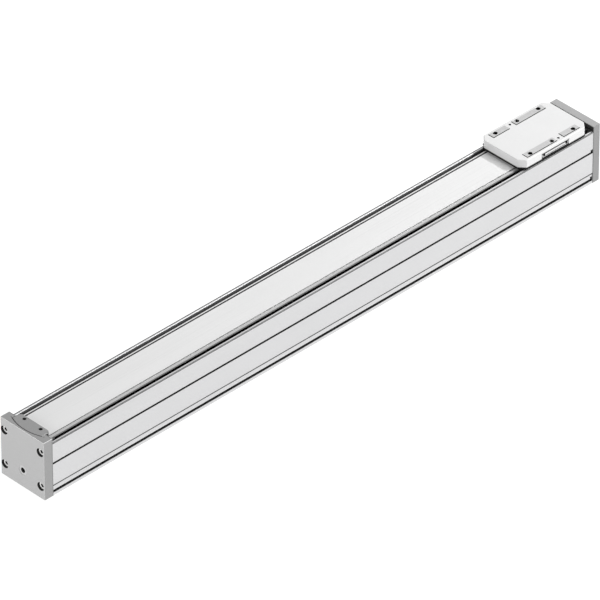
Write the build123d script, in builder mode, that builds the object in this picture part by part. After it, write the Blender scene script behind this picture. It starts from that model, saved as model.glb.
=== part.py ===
import os

from build123d import *

# Electric linear axis: ball screw drive, closed profile, slide over a fixed cover strip
# +X runs from the near cap to the drive end, +Z is up, the origin is the centre of the underside
# All sizes are in millimetres

# Overall sizes
axis_length = 750.0
profile_width = 59.6
cap_height = 67.3
cap_side_rim = 0.2
axis_width = profile_width + 2 * cap_side_rim
near_cap_thickness = 11.4
far_cap_thickness = 9.4
near_face_x = -axis_length / 2
far_face_x = axis_length / 2
profile_start_x = near_face_x + near_cap_thickness
profile_end_x = far_face_x - far_cap_thickness
edge_break = 0.4

# Profile barrel
cap_rise = 5.8
profile_height = cap_height - cap_rise
floor_height = 8.0
wall_thickness = 3.0
inner_half_width = profile_width / 2 - wall_thickness
screw_boss_radius = 3.4
switch_groove_height = 37.6
switch_groove_mouth = 2.0
switch_groove_lip = 1.2
switch_groove_width = 4.0
switch_groove_depth = 2.2
switch_rib_height = 8.4
switch_rib_thickness = 2.3
foot_groove_height = 4.9
foot_groove_mouth = 3.2
foot_groove_lip = 1.6
foot_groove_width = 5.4
foot_groove_depth = 2.4
foot_step_height = 11.8
foot_step_depth = 0.7
foot_step_end = 6.6
notch_length = 3.2
notch_rise = 3.6
underside_groove_width = 6.0
underside_groove_offset = 15.0
underside_groove_depth = 0.6

# Socket head screws: head radius, head height, socket radius, socket depth and shank radius
m5_head_radius = 4.25
m5_head_height = 5.0
m5_socket_radius = 2.3
m5_socket_depth = 2.5
m5_shank_radius = 2.5
m4_head_radius = 3.5
m4_head_height = 4.0
m4_socket_radius = 1.7
m4_socket_depth = 2.0
m4_shank_radius = 2.0
m3_head_radius = 2.75
m3_head_height = 3.0
m3_socket_radius = 1.4
m3_socket_depth = 1.5
m3_shank_radius = 1.5
m2_head_radius = 1.9
m2_head_height = 2.0
m2_socket_radius = 0.85
m2_socket_depth = 1.0
m2_shank_radius = 1.0
screw_gap = 0.03
screw_end_gap = 1.0

# End cap screws
cap_screw_inset = 2.0
cap_screw_offset = inner_half_width - cap_screw_inset
cap_screw_low = 14.0
cap_screw_drop = 13.3
cap_screw_high = cap_height - cap_screw_drop
cap_counterbore_radius = 4.65
near_head_recess = 2.4
far_head_recess = 0.4
cap_screw_length = 20.0
cap_screw_points = [
    (side * cap_screw_offset, height)
    for side in (-1, 1)
    for height in (cap_screw_low, cap_screw_high)
]

# Cover strip: flat middle, a lower flange along each edge and a lip turned down at its end
strip_rise = 0.7
strip_top = profile_height + strip_rise
strip_thickness = 0.8
side_slot_width = 4.6
flange_half_width = inner_half_width - side_slot_width
flange_width = 3.45
strip_half_width = flange_half_width - flange_width
flange_drop = 0.9
lip_depth = 1.6
strip_underside = strip_top - strip_thickness
flange_top = strip_top - flange_drop
flange_underside = flange_top - strip_thickness
lip_bottom = flange_top - lip_depth
strip_gap = 0.1
strip_seat = 2.4
block_top_margin = 1.6

# Near strip clamp and its pocket in the near cap
clamp_half_width = 20.5
clamp_front_inset = 2.7
clamp_front_side_inset = 6.9
clamp_reach = 6.3
clamp_rear_x = profile_start_x + clamp_reach
clamp_rear_radius = 4.0
clamp_screw_reach = 2.4
clamp_screw_x = profile_start_x + clamp_screw_reach
clamp_screw_offset = 11.2
clamp_counterbore_radius = 2.0
clamp_counterbore_depth = 3.2
clamp_screw_length = 8.0
clamp_gap = 0.3

# Far strip clamp: a bar that pinches the turned-up end of the strip
tab_inset = 0.35
tab_half_width = strip_half_width - tab_inset
bar_half_width = tab_half_width - strip_gap
bar_height = 3.1
bar_length = 4.4
tab_rise = 3.2
tab_top = strip_top + tab_rise
pocket_depth = 6.0
bar_screw_rise = 1.5
bar_screw_height = strip_top + bar_screw_rise
bar_screw_offset = 12.0
bar_counterbore_radius = 2.1
bar_counterbore_depth = 2.2
bar_screw_length = 4.6

# Screw axis, bearings and bearing blocks
screw_height = 37.0
screw_radius = 6.0
journal_radius = 4.0
block_side_gap = 0.9
block_half_width = cap_screw_offset - screw_boss_radius - block_side_gap
block_bottom = 22.0
near_block_length = 11.6
far_block_length = 10.1
near_block_end_x = profile_start_x + near_block_length
far_block_start_x = profile_end_x - far_block_length
bearing_outer_radius = 9.5
bearing_race_radius = 7.9
bearing_inner_radius = 5.6
bearing_width = 6.0
shield_thickness = 0.6
shield_inset = 0.3
shield_gap = 0.15
seat_gap = 0.02
near_pocket_depth = 10.0
near_bearing_recess = 1.5
near_bearing_x = near_block_end_x - near_bearing_recess - bearing_width
far_shoulder_thickness = 2.0
far_bearing_x = far_block_start_x + far_shoulder_thickness
far_bearings_end_x = far_bearing_x + 2 * bearing_width
shaft_opening_radius = 8.0
retaining_ring_radius = 11.5
retaining_ring_bore = 7.6
retaining_ring_length = 4.0
ring_slot_width = 1.6
ring_slot_depth = 1.2
centring_radius = 14.0
centring_depth = 1.5
lock_nut_radius = 7.0
lock_nut_length = 4.0
lock_nut_flats = 12.0
drive_stub_radius = 3.5
drive_stub_length = 20.0
stub_chamfer = 0.5
circlip_groove_radius = 3.7
circlip_thickness = 0.8
circlip_radius = 5.4
circlip_mouth = 3.0
journal_end_length = 1.4
motor_hole_circle_radius = 20.0
motor_hole_count = 4
motor_hole_angle = 45.0
motor_hole_radius = 1.65
motor_hole_depth = 7.0

# Air port on the near cap
port_height = 19.6
port_radius = 2.1
port_mouth_radius = 2.95
port_spot_radius = 5.3
port_spot_depth = 0.4

# Buffers
buffer_inner_radius = 10.0
buffer_outer_radius = 14.5
near_buffer_length = 3.0
far_buffer_length = 2.5

# Guide rail and its screws
rail_width = 15.0
rail_height = 9.5
rail_end_gap = 2.6
rail_notch_radius = 1.3
rail_notch_height = 5.6
rail_screw_spacing = 60.0
rail_screw_margin = 15.0
rail_counterbore_radius = 3.0
rail_counterbore_depth = 4.4
rail_screw_length = 10.4
rail_top = floor_height + rail_height

# Guide carriages
carriage_width = 40.0
carriage_bottom = floor_height + 3.0
carriage_top = 24.0
carriage_offset = 17.0
carriage_block_length = 22.0
carriage_cap_length = 3.0
carriage_cap_margin = 0.6
carriage_clearance = 0.05
carriage_screw_spacing = 10.0
carriage_screw_offset = 16.0
carriage_screw_seat = 30.0
carriage_screw_bore = 3.1
carriage_screw_length = 10.0

# Slide: overall plan and heights above the strip
cover_half_length = 46.4
cover_half_width = axis_width / 2
cover_wall = 2.0
cover_rise = 2.3
cover_bottom = strip_top + cover_rise
cover_lap = 0.3
table_bottom = cover_bottom + cover_lap
table_thickness = 7.1
table_top = table_bottom + table_thickness
pad_height = 2.3
pad_top = table_top + pad_height
pad_rise = 0.5
cover_top = pad_top - pad_rise
wiper_length = 4.8
wiper_inset = 0.4

# Slide body, in one piece around the strip
saddle_near_length = 32.0
saddle_far_length = 37.0
rest_gap = 3.6
slide_x = far_block_start_x - far_buffer_length - rest_gap - saddle_far_length
saddle_side_gap = 0.6
saddle_half_width = cap_screw_offset - screw_boss_radius - saddle_side_gap
strip_clearance = 0.4
leg_inner = flange_half_width + strip_clearance
leg_outer = inner_half_width - strip_clearance
leg_root_gap = 0.3
leg_root = cap_screw_high + screw_boss_radius + leg_root_gap
strip_passage_bottom = lip_bottom - strip_clearance
table_end_gap = 2.6
table_half_length = cover_half_length - wiper_length - table_end_gap
table_half_width = cover_half_width - cover_wall
pad_margin = 1.2
pad_width = 6.8
pad_outer = table_half_width - pad_margin
pad_inner = pad_outer - pad_width
pad_end_margin = 2.7
pad_reach = table_half_length - pad_end_margin
long_pad_end = 4.6
short_pad_start = 14.4
table_bolt_x = 30.0
table_bolt_inset = 2.8
table_bolt_y = pad_outer - table_bolt_inset
table_bolt_radius = 2.1
table_bolt_mouth = 0.45
table_bolt_depth = 8.0
dowel_radius = 2.5
dowel_depth = 3.0
grease_x = 9.0
grease_inset = 2.2
grease_y = pad_outer - grease_inset
grease_radius = 1.2
grease_depth = 5.0
lug_half_length = 18.0
lug_height = 4.7
lug_top = table_bottom + lug_height
lug_inset = 1.1
lug_face = cover_half_width - lug_inset
lug_hole_x = 15.5
lug_hole_shift = 0.5
lug_hole_drop = 1.9
lug_hole_height = lug_top - lug_hole_drop
lug_hole_radius = 1.25
lug_hole_depth = 5.0
lug_groove_drop = 1.0
lug_groove_width = 0.5
lug_groove_depth = 0.4

# White slide cover
corner_cut_x = 6.0
corner_cut_y = 7.0
corner_radius = 1.5
top_edge_radius = 1.0
window_gap = 0.4
lug_window_gap = 0.3
lug_window_half_length = 18.5
lug_window_top = lug_top + lug_window_gap
grease_hole_radius = 1.4

# Wipers at both ends of the slide and seals along its sides
wiper_clearance = 0.4
wiper_bottom = strip_top + wiper_clearance
wiper_tongue_half_width = 20.0
wiper_tongue_height = 4.1
wiper_tongue_top = cover_bottom + wiper_tongue_height
wiper_finger_depth = 4.2
wiper_finger_bottom = wiper_bottom - wiper_finger_depth
side_seal_inset = 0.3
side_seal_width = 2.5

# Ball nut
nut_radius = 12.0
nut_length = 36.0
nut_flange_radius = 19.0
nut_flange_length = 8.0
nut_flange_flat = 12.5
nut_bore_gap = 0.05
nut_screw_spread = 14.05
nut_screw_rise = 6.55
nut_counterbore_radius = 3.7
nut_counterbore_depth = 4.4
nut_screw_length = 9.0
screw_passage_radius = 7.0

os.makedirs("parts", exist_ok=True)


def save(part, name):
    part.label = name
    export_step(part, f"parts/{name}.step")


def facing_near(x):
    # Upright plane at x that looks back along minus X, with its own Y pointing up
    return Plane(origin=(x, 0, 0), x_dir=(0, -1, 0), z_dir=(-1, 0, 0))


def across(x):
    # Upright plane at x that looks along plus X, sketched in Y and Z
    return Plane.YZ.offset(x)


def level(z):
    # Level plane at height z, sketched in X and Y
    return Plane.XY.offset(z)


def span(low_a, high_a, low_b, high_b, mode=Mode.ADD):
    # Rectangle between two pairs of limits in the current sketch
    with Locations(((low_a + high_a) / 2, (low_b + high_b) / 2)):
        Rectangle(high_a - low_a, high_b - low_b, mode=mode)


def socket_screws(seat, points, head_radius, head_height, socket_radius, socket_depth,
                  shank_radius, length):
    # Heads stand on the seat plane, shanks go the other way
    with BuildPart() as screws:
        with BuildSketch(seat):
            with Locations(*points):
                Circle(head_radius)
        extrude(amount=head_height)
        with BuildSketch(seat.offset(head_height)):
            with Locations(*points):
                RegularPolygon(socket_radius, 6)
        extrude(amount=-socket_depth, mode=Mode.SUBTRACT)
        with BuildSketch(seat):
            with Locations(*points):
                Circle(shank_radius)
        extrude(amount=-length)
    return screws.part


def bores(plane, points, radius, depth):
    # Round holes sunk from the plane, against its normal, in the current part
    with BuildSketch(plane) as mouths:
        with Locations(*points):
            Circle(radius)
    extrude(mouths.sketch, amount=-depth, mode=Mode.SUBTRACT)


def rings(start_x, length, outer_radius, inner_radius):
    # Round ring about the screw axis
    with BuildSketch(across(start_x)) as section:
        with Locations((0, screw_height)):
            Circle(outer_radius)
            Circle(inner_radius, mode=Mode.SUBTRACT)
    extrude(section.sketch, amount=length)


# Profile barrel
profile_length = profile_end_x - profile_start_x
profile_middle_x = (profile_start_x + profile_end_x) / 2
rail_length = profile_length - 2 * rail_end_gap
rail_screw_steps = int((rail_length - 2 * rail_screw_margin) // rail_screw_spacing)
rail_screw_points = [
    (profile_middle_x + (index - rail_screw_steps / 2) * rail_screw_spacing, 0)
    for index in range(rail_screw_steps + 1)
]
rail_screw_seat = rail_top - rail_counterbore_depth


def side_groove(side, height, mouth, lip, width, depth):
    outer = side * profile_width / 2
    lip_end = outer - side * lip
    back = lip_end - side * depth
    span(min(outer, lip_end), max(outer, lip_end), height - mouth / 2, height + mouth / 2,
         mode=Mode.SUBTRACT)
    span(min(lip_end, back), max(lip_end, back), height - width / 2, height + width / 2,
         mode=Mode.SUBTRACT)


with BuildPart() as profile_barrel:
    with BuildSketch(across(profile_start_x)):
        span(-profile_width / 2, profile_width / 2, 0, profile_height)
        span(-inner_half_width, inner_half_width, floor_height, profile_height,
             mode=Mode.SUBTRACT)
        rib_low = switch_groove_height - switch_rib_height / 2
        rib_high = switch_groove_height + switch_rib_height / 2
        span(inner_half_width - switch_rib_thickness, inner_half_width, rib_low, rib_high)
        span(-inner_half_width, switch_rib_thickness - inner_half_width, rib_low, rib_high)
        with Locations(*cap_screw_points):
            Circle(screw_boss_radius)
            Circle(m5_shank_radius + screw_gap, mode=Mode.SUBTRACT)
        for side in (-1, 1):
            side_groove(side, switch_groove_height, switch_groove_mouth, switch_groove_lip,
                        switch_groove_width, switch_groove_depth)
            side_groove(side, foot_groove_height, foot_groove_mouth, foot_groove_lip,
                        foot_groove_width, foot_groove_depth)
            outer = side * profile_width / 2
            with BuildLine():
                Polyline(
                    (outer, foot_step_height),
                    (outer - side * foot_step_depth, foot_step_height),
                    (outer, foot_step_end),
                    close=True,
                )
            make_face(mode=Mode.SUBTRACT)
            with Locations((side * underside_groove_offset, underside_groove_depth / 2)):
                Rectangle(underside_groove_width, underside_groove_depth, mode=Mode.SUBTRACT)
    extrude(amount=profile_length)
    top_edges = profile_barrel.edges().filter_by(Axis.X).group_by(Axis.Z)[-1]
    chamfer(top_edges, edge_break)
    bores(level(floor_height), rail_screw_points, m3_shank_radius + screw_gap,
          rail_screw_length - (rail_screw_seat - floor_height) + screw_end_gap)
    # Openings where slot nuts go in, at the drive end
    for side in (-1, 1):
        for height, mouth, lip, depth in (
            (switch_groove_height, switch_groove_mouth, switch_groove_lip, switch_groove_depth),
            (foot_groove_height, foot_groove_mouth, foot_groove_lip, foot_groove_depth),
        ):
            notch_low = height - mouth / 2
            notch_high = height + notch_rise
            reach = lip + depth
            with Locations((
                profile_end_x - notch_length / 2,
                side * (profile_width / 2 - reach / 2),
                (notch_low + notch_high) / 2,
            )):
                Box(notch_length, reach, notch_high - notch_low, mode=Mode.SUBTRACT)
save(profile_barrel.part, "profile_barrel")


# Near end cap with its inner bearing block
clamp_plate_bottom = strip_top
near_cap_seat_x = near_face_x + near_head_recess + m5_head_height


def clamp_outline(margin, rear_x):
    # Plan of the near strip clamp, with a front edge that bulges towards the cap's outer face
    with BuildLine() as outline:
        front = ThreePointArc(
            (near_face_x + clamp_front_side_inset - margin, clamp_half_width + margin),
            (near_face_x + clamp_front_inset - margin, 0),
            (near_face_x + clamp_front_side_inset - margin, -clamp_half_width - margin),
        )
        Polyline(front @ 1, (rear_x, -clamp_half_width - margin),
                 (rear_x, clamp_half_width + margin), front @ 0)
    make_face(outline.edges())


def lip_pockets():
    # Room for the two down-turned lips of the strip, in the current sketch
    for side in (-1, 1):
        inner = side * (flange_half_width - strip_thickness - strip_gap)
        outer = side * (flange_half_width + strip_gap)
        span(min(inner, outer), max(inner, outer), lip_bottom - strip_gap, flange_underside)


with BuildPart() as near_end_cap:
    with BuildSketch(across(near_face_x)):
        span(-axis_width / 2, axis_width / 2, 0, cap_height)
    extrude(amount=near_cap_thickness)
    outer_edges = near_end_cap.faces().sort_by(Axis.X)[0].edges()
    chamfer(outer_edges, edge_break)
    with BuildSketch(across(profile_start_x)):
        span(-block_half_width, block_half_width, block_bottom, flange_underside)
        span(block_top_margin - strip_half_width, strip_half_width - block_top_margin,
             flange_underside, strip_underside)
    extrude(amount=near_block_end_x - profile_start_x)
    with BuildSketch(level(clamp_plate_bottom)):
        clamp_outline(clamp_gap, profile_start_x)
    extrude(amount=cap_height - clamp_plate_bottom, mode=Mode.SUBTRACT)
    with BuildSketch(across(profile_start_x)):
        span(-flange_half_width - strip_gap, flange_half_width + strip_gap,
             flange_underside, strip_top)
        lip_pockets()
    extrude(amount=-strip_seat - strip_gap, mode=Mode.SUBTRACT)
    bores(facing_near(near_face_x), cap_screw_points, cap_counterbore_radius,
          near_head_recess + m5_head_height)
    bores(facing_near(near_face_x), cap_screw_points, m5_shank_radius + screw_gap,
          near_cap_thickness)
    bores(across(near_block_end_x), [(0, screw_height)], bearing_outer_radius,
          near_pocket_depth)
    bores(facing_near(near_face_x), [(0, port_height)], port_spot_radius, port_spot_depth)
    bores(facing_near(near_face_x), [(0, port_height)], port_radius, near_cap_thickness)
    port_rim = near_end_cap.edges(Select.LAST).filter_by(GeomType.CIRCLE).sort_by(Axis.X)[0]
    chamfer(port_rim, port_mouth_radius - port_radius)
    bores(level(strip_underside), [(clamp_screw_x, clamp_screw_offset),
                                   (clamp_screw_x, -clamp_screw_offset)],
          m2_shank_radius + screw_gap, clamp_screw_length)
save(near_end_cap.part, "near_end_cap")

save(socket_screws(facing_near(near_cap_seat_x), cap_screw_points, m5_head_radius,
                   m5_head_height, m5_socket_radius, m5_socket_depth, m5_shank_radius,
                   cap_screw_length), "near_cap_screws")


# Far end cap with its inner bearing block
far_cap_seat_x = far_face_x - far_head_recess - m5_head_height
bar_screw_points = [(-bar_screw_offset, bar_screw_height), (bar_screw_offset, bar_screw_height)]
pocket_end_x = profile_end_x + pocket_depth

with BuildPart() as far_end_cap:
    with BuildSketch(across(profile_end_x)):
        span(-axis_width / 2, axis_width / 2, 0, cap_height)
    extrude(amount=far_cap_thickness)
    outer_edges = far_end_cap.faces().sort_by(Axis.X)[-1].edges()
    chamfer(outer_edges, edge_break)
    with BuildSketch(across(far_block_start_x)):
        span(-block_half_width, block_half_width, block_bottom, flange_underside)
        span(block_top_margin - strip_half_width, strip_half_width - block_top_margin,
             flange_underside, strip_underside)
    extrude(amount=profile_end_x - far_block_start_x)
    with BuildSketch(across(profile_end_x)):
        span(-flange_half_width - strip_gap, flange_half_width + strip_gap,
             flange_underside, strip_top)
        lip_pockets()
        span(-tab_half_width - strip_gap, tab_half_width + strip_gap,
             strip_top, tab_top + strip_gap)
    extrude(amount=pocket_depth, mode=Mode.SUBTRACT)
    bores(across(far_face_x), cap_screw_points, cap_counterbore_radius,
          far_head_recess + m5_head_height)
    bores(across(far_face_x), cap_screw_points, m5_shank_radius + screw_gap,
          far_cap_thickness)
    bores(across(far_face_x), [(0, screw_height)], centring_radius, centring_depth)
    bores(across(far_face_x), [(0, screw_height)], retaining_ring_radius,
          far_face_x - far_bearings_end_x)
    bores(across(far_face_x), [(0, screw_height)], bearing_outer_radius,
          far_face_x - far_bearing_x)
    bores(across(far_face_x), [(0, screw_height)], shaft_opening_radius,
          far_face_x - far_block_start_x)
    with BuildSketch(across(far_face_x)):
        with Locations((0, screw_height)):
            with PolarLocations(motor_hole_circle_radius, motor_hole_count,
                                start_angle=motor_hole_angle):
                Circle(motor_hole_radius)
    extrude(amount=-motor_hole_depth, mode=Mode.SUBTRACT)
    bores(across(far_face_x), bar_screw_points, bar_counterbore_radius,
          bar_counterbore_depth)
    bores(across(far_face_x), bar_screw_points, m2_shank_radius + screw_gap,
          far_face_x - pocket_end_x)
save(far_end_cap.part, "far_end_cap")

save(socket_screws(across(far_cap_seat_x), cap_screw_points, m5_head_radius, m5_head_height,
                   m5_socket_radius, m5_socket_depth, m5_shank_radius, cap_screw_length),
     "far_cap_screws")


# Cover strip, with its far end turned up
strip_start_x = profile_start_x - strip_seat
with BuildPart() as cover_strip:
    with BuildSketch(across(strip_start_x)):
        span(-strip_half_width, strip_half_width, strip_underside, strip_top)
        for low, high in (
            (-flange_half_width, -strip_half_width + strip_thickness),
            (strip_half_width - strip_thickness, flange_half_width),
        ):
            span(low, high, flange_underside, flange_top)
        for low, high in (
            (-strip_half_width, -strip_half_width + strip_thickness),
            (strip_half_width - strip_thickness, strip_half_width),
        ):
            span(low, high, flange_underside, strip_top)
        for low, high in (
            (-flange_half_width, -flange_half_width + strip_thickness),
            (flange_half_width - strip_thickness, flange_half_width),
        ):
            span(low, high, lip_bottom, flange_top)
    extrude(amount=pocket_end_x - strip_start_x)
    with BuildSketch(across(pocket_end_x)):
        span(-tab_half_width, tab_half_width, strip_underside, tab_top)
    extrude(amount=-strip_thickness)
    bores(across(pocket_end_x), bar_screw_points, m2_shank_radius + screw_gap,
          strip_thickness)
    bores(level(strip_top), [(clamp_screw_x, clamp_screw_offset),
                             (clamp_screw_x, -clamp_screw_offset)],
          m2_shank_radius + screw_gap, strip_thickness)
save(cover_strip.part, "cover_strip")


# Near strip clamp
clamp_seat = cap_height - clamp_counterbore_depth
clamp_screw_points = [(clamp_screw_x, -clamp_screw_offset), (clamp_screw_x, clamp_screw_offset)]
with BuildPart() as near_strip_clamp:
    with BuildSketch(level(clamp_plate_bottom)):
        clamp_outline(0, clamp_rear_x)
    extrude(amount=cap_height - clamp_plate_bottom)
    rear_corners = near_strip_clamp.edges().filter_by(Axis.Z).group_by(Axis.X)[-1]
    fillet(rear_corners, clamp_rear_radius)
    rim = near_strip_clamp.faces().sort_by(Axis.Z)[-1].edges()
    chamfer(rim, edge_break / 2)
    bores(level(cap_height), clamp_screw_points, clamp_counterbore_radius,
          clamp_counterbore_depth)
    bores(level(cap_height), clamp_screw_points, m2_shank_radius + screw_gap,
          cap_height - clamp_plate_bottom)
save(near_strip_clamp.part, "near_strip_clamp")

save(socket_screws(level(clamp_seat), clamp_screw_points, m2_head_radius, m2_head_height,
                   m2_socket_radius, m2_socket_depth, m2_shank_radius, clamp_screw_length),
     "near_clamp_screws")


# Far strip clamp
bar_end_x = pocket_end_x - strip_thickness
with BuildPart() as far_strip_clamp:
    with BuildSketch(across(bar_end_x)):
        span(-bar_half_width, bar_half_width, strip_top, strip_top + bar_height)
    extrude(amount=-bar_length)
    bores(across(bar_end_x), bar_screw_points, m2_shank_radius + screw_gap, bar_length)
save(far_strip_clamp.part, "far_strip_clamp")

save(socket_screws(across(far_face_x - bar_counterbore_depth), bar_screw_points,
                   m2_head_radius, m2_head_height, m2_socket_radius, m2_socket_depth,
                   m2_shank_radius, bar_screw_length), "far_clamp_screws")


# Guide rail and its screws
rail_start_x = profile_start_x + rail_end_gap
with BuildPart() as guide_rail:
    with BuildSketch(across(rail_start_x)):
        span(-rail_width / 2, rail_width / 2, floor_height, rail_top)
        with Locations((-rail_width / 2, floor_height + rail_notch_height),
                       (rail_width / 2, floor_height + rail_notch_height)):
            Circle(rail_notch_radius, mode=Mode.SUBTRACT)
    extrude(amount=rail_length)
    bores(level(rail_top), rail_screw_points, rail_counterbore_radius,
          rail_counterbore_depth)
    bores(level(rail_top), rail_screw_points, m3_shank_radius + screw_gap, rail_height)
save(guide_rail.part, "guide_rail")

save(socket_screws(level(rail_screw_seat), rail_screw_points, m3_head_radius,
                   m3_head_height, m3_socket_radius, m3_socket_depth, m3_shank_radius,
                   rail_screw_length), "guide_rail_screws")


# Buffers on the faces of the bearing blocks
with BuildPart() as near_buffer:
    rings(near_block_end_x, near_buffer_length, buffer_outer_radius, buffer_inner_radius)
save(near_buffer.part, "near_buffer")

with BuildPart() as far_buffer:
    rings(far_block_start_x - far_buffer_length, far_buffer_length, buffer_outer_radius,
          buffer_inner_radius)
save(far_buffer.part, "far_buffer")


# Bearings
def outer_ring(start_x):
    rings(start_x, bearing_width, bearing_outer_radius - seat_gap, bearing_race_radius)
    for shield_x in (start_x + shield_inset,
                     start_x + bearing_width - shield_inset - shield_thickness):
        rings(shield_x, shield_thickness, bearing_race_radius,
              bearing_inner_radius + shield_gap)


def inner_ring(start_x):
    rings(start_x, bearing_width, bearing_inner_radius, journal_radius + seat_gap)


with BuildPart() as floating_bearing_outer_ring:
    outer_ring(near_bearing_x)
save(floating_bearing_outer_ring.part, "floating_bearing_outer_ring")

with BuildPart() as floating_bearing_inner_ring:
    inner_ring(near_bearing_x)
save(floating_bearing_inner_ring.part, "floating_bearing_inner_ring")

for index, place in enumerate(("inboard", "outboard")):
    start_x = far_bearing_x + index * bearing_width
    with BuildPart() as fixed_outer:
        outer_ring(start_x)
    save(fixed_outer.part, f"{place}_bearing_outer_ring")
    with BuildPart() as fixed_inner:
        inner_ring(start_x)
    save(fixed_inner.part, f"{place}_bearing_inner_ring")


# Ring that holds the fixed bearings in the far cap
ring_end_x = far_bearings_end_x + retaining_ring_length
with BuildPart() as bearing_retaining_ring:
    rings(far_bearings_end_x, retaining_ring_length, retaining_ring_radius - seat_gap,
          retaining_ring_bore)
    for angle in (0, 90):
        with BuildSketch(across(ring_end_x)):
            with Locations((0, screw_height)):
                Rectangle(2 * retaining_ring_radius, ring_slot_width, rotation=angle)
        extrude(amount=-ring_slot_depth, mode=Mode.SUBTRACT)
save(bearing_retaining_ring.part, "bearing_retaining_ring")


# Ball screw with its journals and drive stub
shaft_start_x = near_bearing_x - circlip_thickness - journal_end_length
drive_stub_start_x = far_bearings_end_x + lock_nut_length
shaft_end_x = far_face_x + drive_stub_length
screw_start_x = near_bearing_x + bearing_width
screw_end_x = far_bearing_x
with BuildPart() as ball_screw:
    for low, high, radius in (
        (shaft_start_x, screw_start_x, journal_radius),
        (screw_start_x, screw_end_x, screw_radius),
        (screw_end_x, drive_stub_start_x, journal_radius),
        (drive_stub_start_x, shaft_end_x, drive_stub_radius),
    ):
        with BuildSketch(across(low)):
            with Locations((0, screw_height)):
                Circle(radius)
        extrude(amount=high - low)
    with BuildSketch(across(near_bearing_x)):
        with Locations((0, screw_height)):
            Circle(journal_radius)
            Circle(circlip_groove_radius, mode=Mode.SUBTRACT)
    extrude(amount=-circlip_thickness, mode=Mode.SUBTRACT)
    stub_rim = ball_screw.faces().sort_by(Axis.X)[-1].edges()
    chamfer(stub_rim, stub_chamfer)
save(ball_screw.part, "ball_screw")

with BuildPart() as shaft_circlip:
    with BuildSketch(across(near_bearing_x - circlip_thickness)):
        with Locations((0, screw_height)):
            Circle(circlip_radius)
            Circle(circlip_groove_radius + seat_gap, mode=Mode.SUBTRACT)
        with Locations((0, screw_height - circlip_radius)):
            Rectangle(circlip_mouth, 2 * circlip_mouth, mode=Mode.SUBTRACT)
    extrude(amount=circlip_thickness)
save(shaft_circlip.part, "shaft_circlip")

with BuildPart() as lock_nut:
    with BuildSketch(across(far_bearings_end_x)):
        with Locations((0, screw_height)):
            Circle(lock_nut_radius)
            Rectangle(lock_nut_flats, 2 * lock_nut_radius, mode=Mode.INTERSECT)
            Circle(journal_radius + seat_gap, mode=Mode.SUBTRACT)
    extrude(amount=lock_nut_length)
save(lock_nut.part, "lock_nut")


# Slide body: saddle, two legs, table and four raised pads
saddle_start_x = slide_x - saddle_near_length
saddle_end_x = slide_x + saddle_far_length
saddle_length = saddle_end_x - saddle_start_x
table_bolt_points = [
    (slide_x + along * table_bolt_x, side * table_bolt_y) for along in (-1, 1) for side in (-1, 1)
]
dowel_points = [(slide_x, -table_bolt_y), (slide_x, table_bolt_y)]
grease_points = [(slide_x + grease_x, -grease_y), (slide_x - grease_x, grease_y)]
carriage_screw_points = [
    (slide_x + along * carriage_offset + step * carriage_screw_spacing / 2,
     side * carriage_screw_offset)
    for along in (-1, 1)
    for step in (-1, 1)
    for side in (-1, 1)
]
pad_limits = [
    (slide_x - pad_reach, slide_x + long_pad_end, -pad_outer, -pad_inner),
    (slide_x + short_pad_start, slide_x + pad_reach, -pad_outer, -pad_inner),
    (slide_x - long_pad_end, slide_x + pad_reach, pad_inner, pad_outer),
    (slide_x - pad_reach, slide_x - short_pad_start, pad_inner, pad_outer),
]
nut_flange_x = saddle_start_x - nut_flange_length
nut_screw_points = [
    (side * nut_screw_spread, screw_height + rise * nut_screw_rise)
    for side in (-1, 1)
    for rise in (-1, 1)
]


def lug_hole_points(shift):
    return [(slide_x + shift + along * lug_hole_x, lug_hole_height) for along in (-1, 1)]


with BuildPart() as slide_body:
    with BuildSketch(across(saddle_start_x)):
        span(-saddle_half_width, saddle_half_width, carriage_top, strip_passage_bottom)
        span(-leg_outer, leg_outer, leg_root, table_bottom)
        span(-leg_inner, leg_inner, strip_passage_bottom, table_bottom, mode=Mode.SUBTRACT)
    extrude(amount=saddle_length)
    with BuildSketch(level(table_bottom)):
        with Locations((slide_x, 0)):
            Rectangle(2 * table_half_length, 2 * table_half_width)
    extrude(amount=table_top - table_bottom)
    with BuildSketch(level(table_top)):
        for limits in pad_limits:
            span(*limits)
    extrude(amount=pad_top - table_top)
    for side in (-1, 1):
        with Locations((slide_x, side * (table_half_width + lug_face) / 2,
                        (table_bottom + lug_top) / 2)):
            Box(2 * lug_half_length, lug_face - table_half_width, lug_top - table_bottom)
        with Locations((slide_x, side * (lug_face - lug_groove_depth / 2),
                        lug_top - lug_groove_drop)):
            Box(2 * lug_half_length, lug_groove_depth, lug_groove_width,
                mode=Mode.SUBTRACT)
    bores(level(pad_top), table_bolt_points, table_bolt_radius, table_bolt_depth)
    bolt_rims = slide_body.edges().filter_by(GeomType.CIRCLE).group_by(Axis.Z)[-1]
    chamfer(bolt_rims, table_bolt_mouth)
    bores(level(pad_top), dowel_points, dowel_radius, dowel_depth)
    bores(level(table_top), grease_points, grease_radius, grease_depth)
    bores(level(table_top), carriage_screw_points, carriage_screw_bore,
          table_top - carriage_screw_seat)
    bores(level(table_top), carriage_screw_points, m3_shank_radius + screw_gap,
          table_top - carriage_top)
    bores(across(saddle_start_x + nut_length), [(0, screw_height)],
          nut_radius + nut_bore_gap, nut_length)
    bores(across(saddle_end_x), [(0, screw_height)], screw_passage_radius, saddle_length)
    bores(facing_near(saddle_start_x), nut_screw_points, m4_shank_radius + screw_gap,
          nut_screw_length - nut_flange_length + nut_counterbore_depth + screw_end_gap)
    bores(Plane.XZ.offset(lug_face), lug_hole_points(lug_hole_shift), lug_hole_radius,
          lug_hole_depth)
    bores(Plane.XZ.offset(lug_hole_depth - lug_face), lug_hole_points(-lug_hole_shift),
          lug_hole_radius, lug_hole_depth)
save(slide_body.part, "slide_body")


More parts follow.
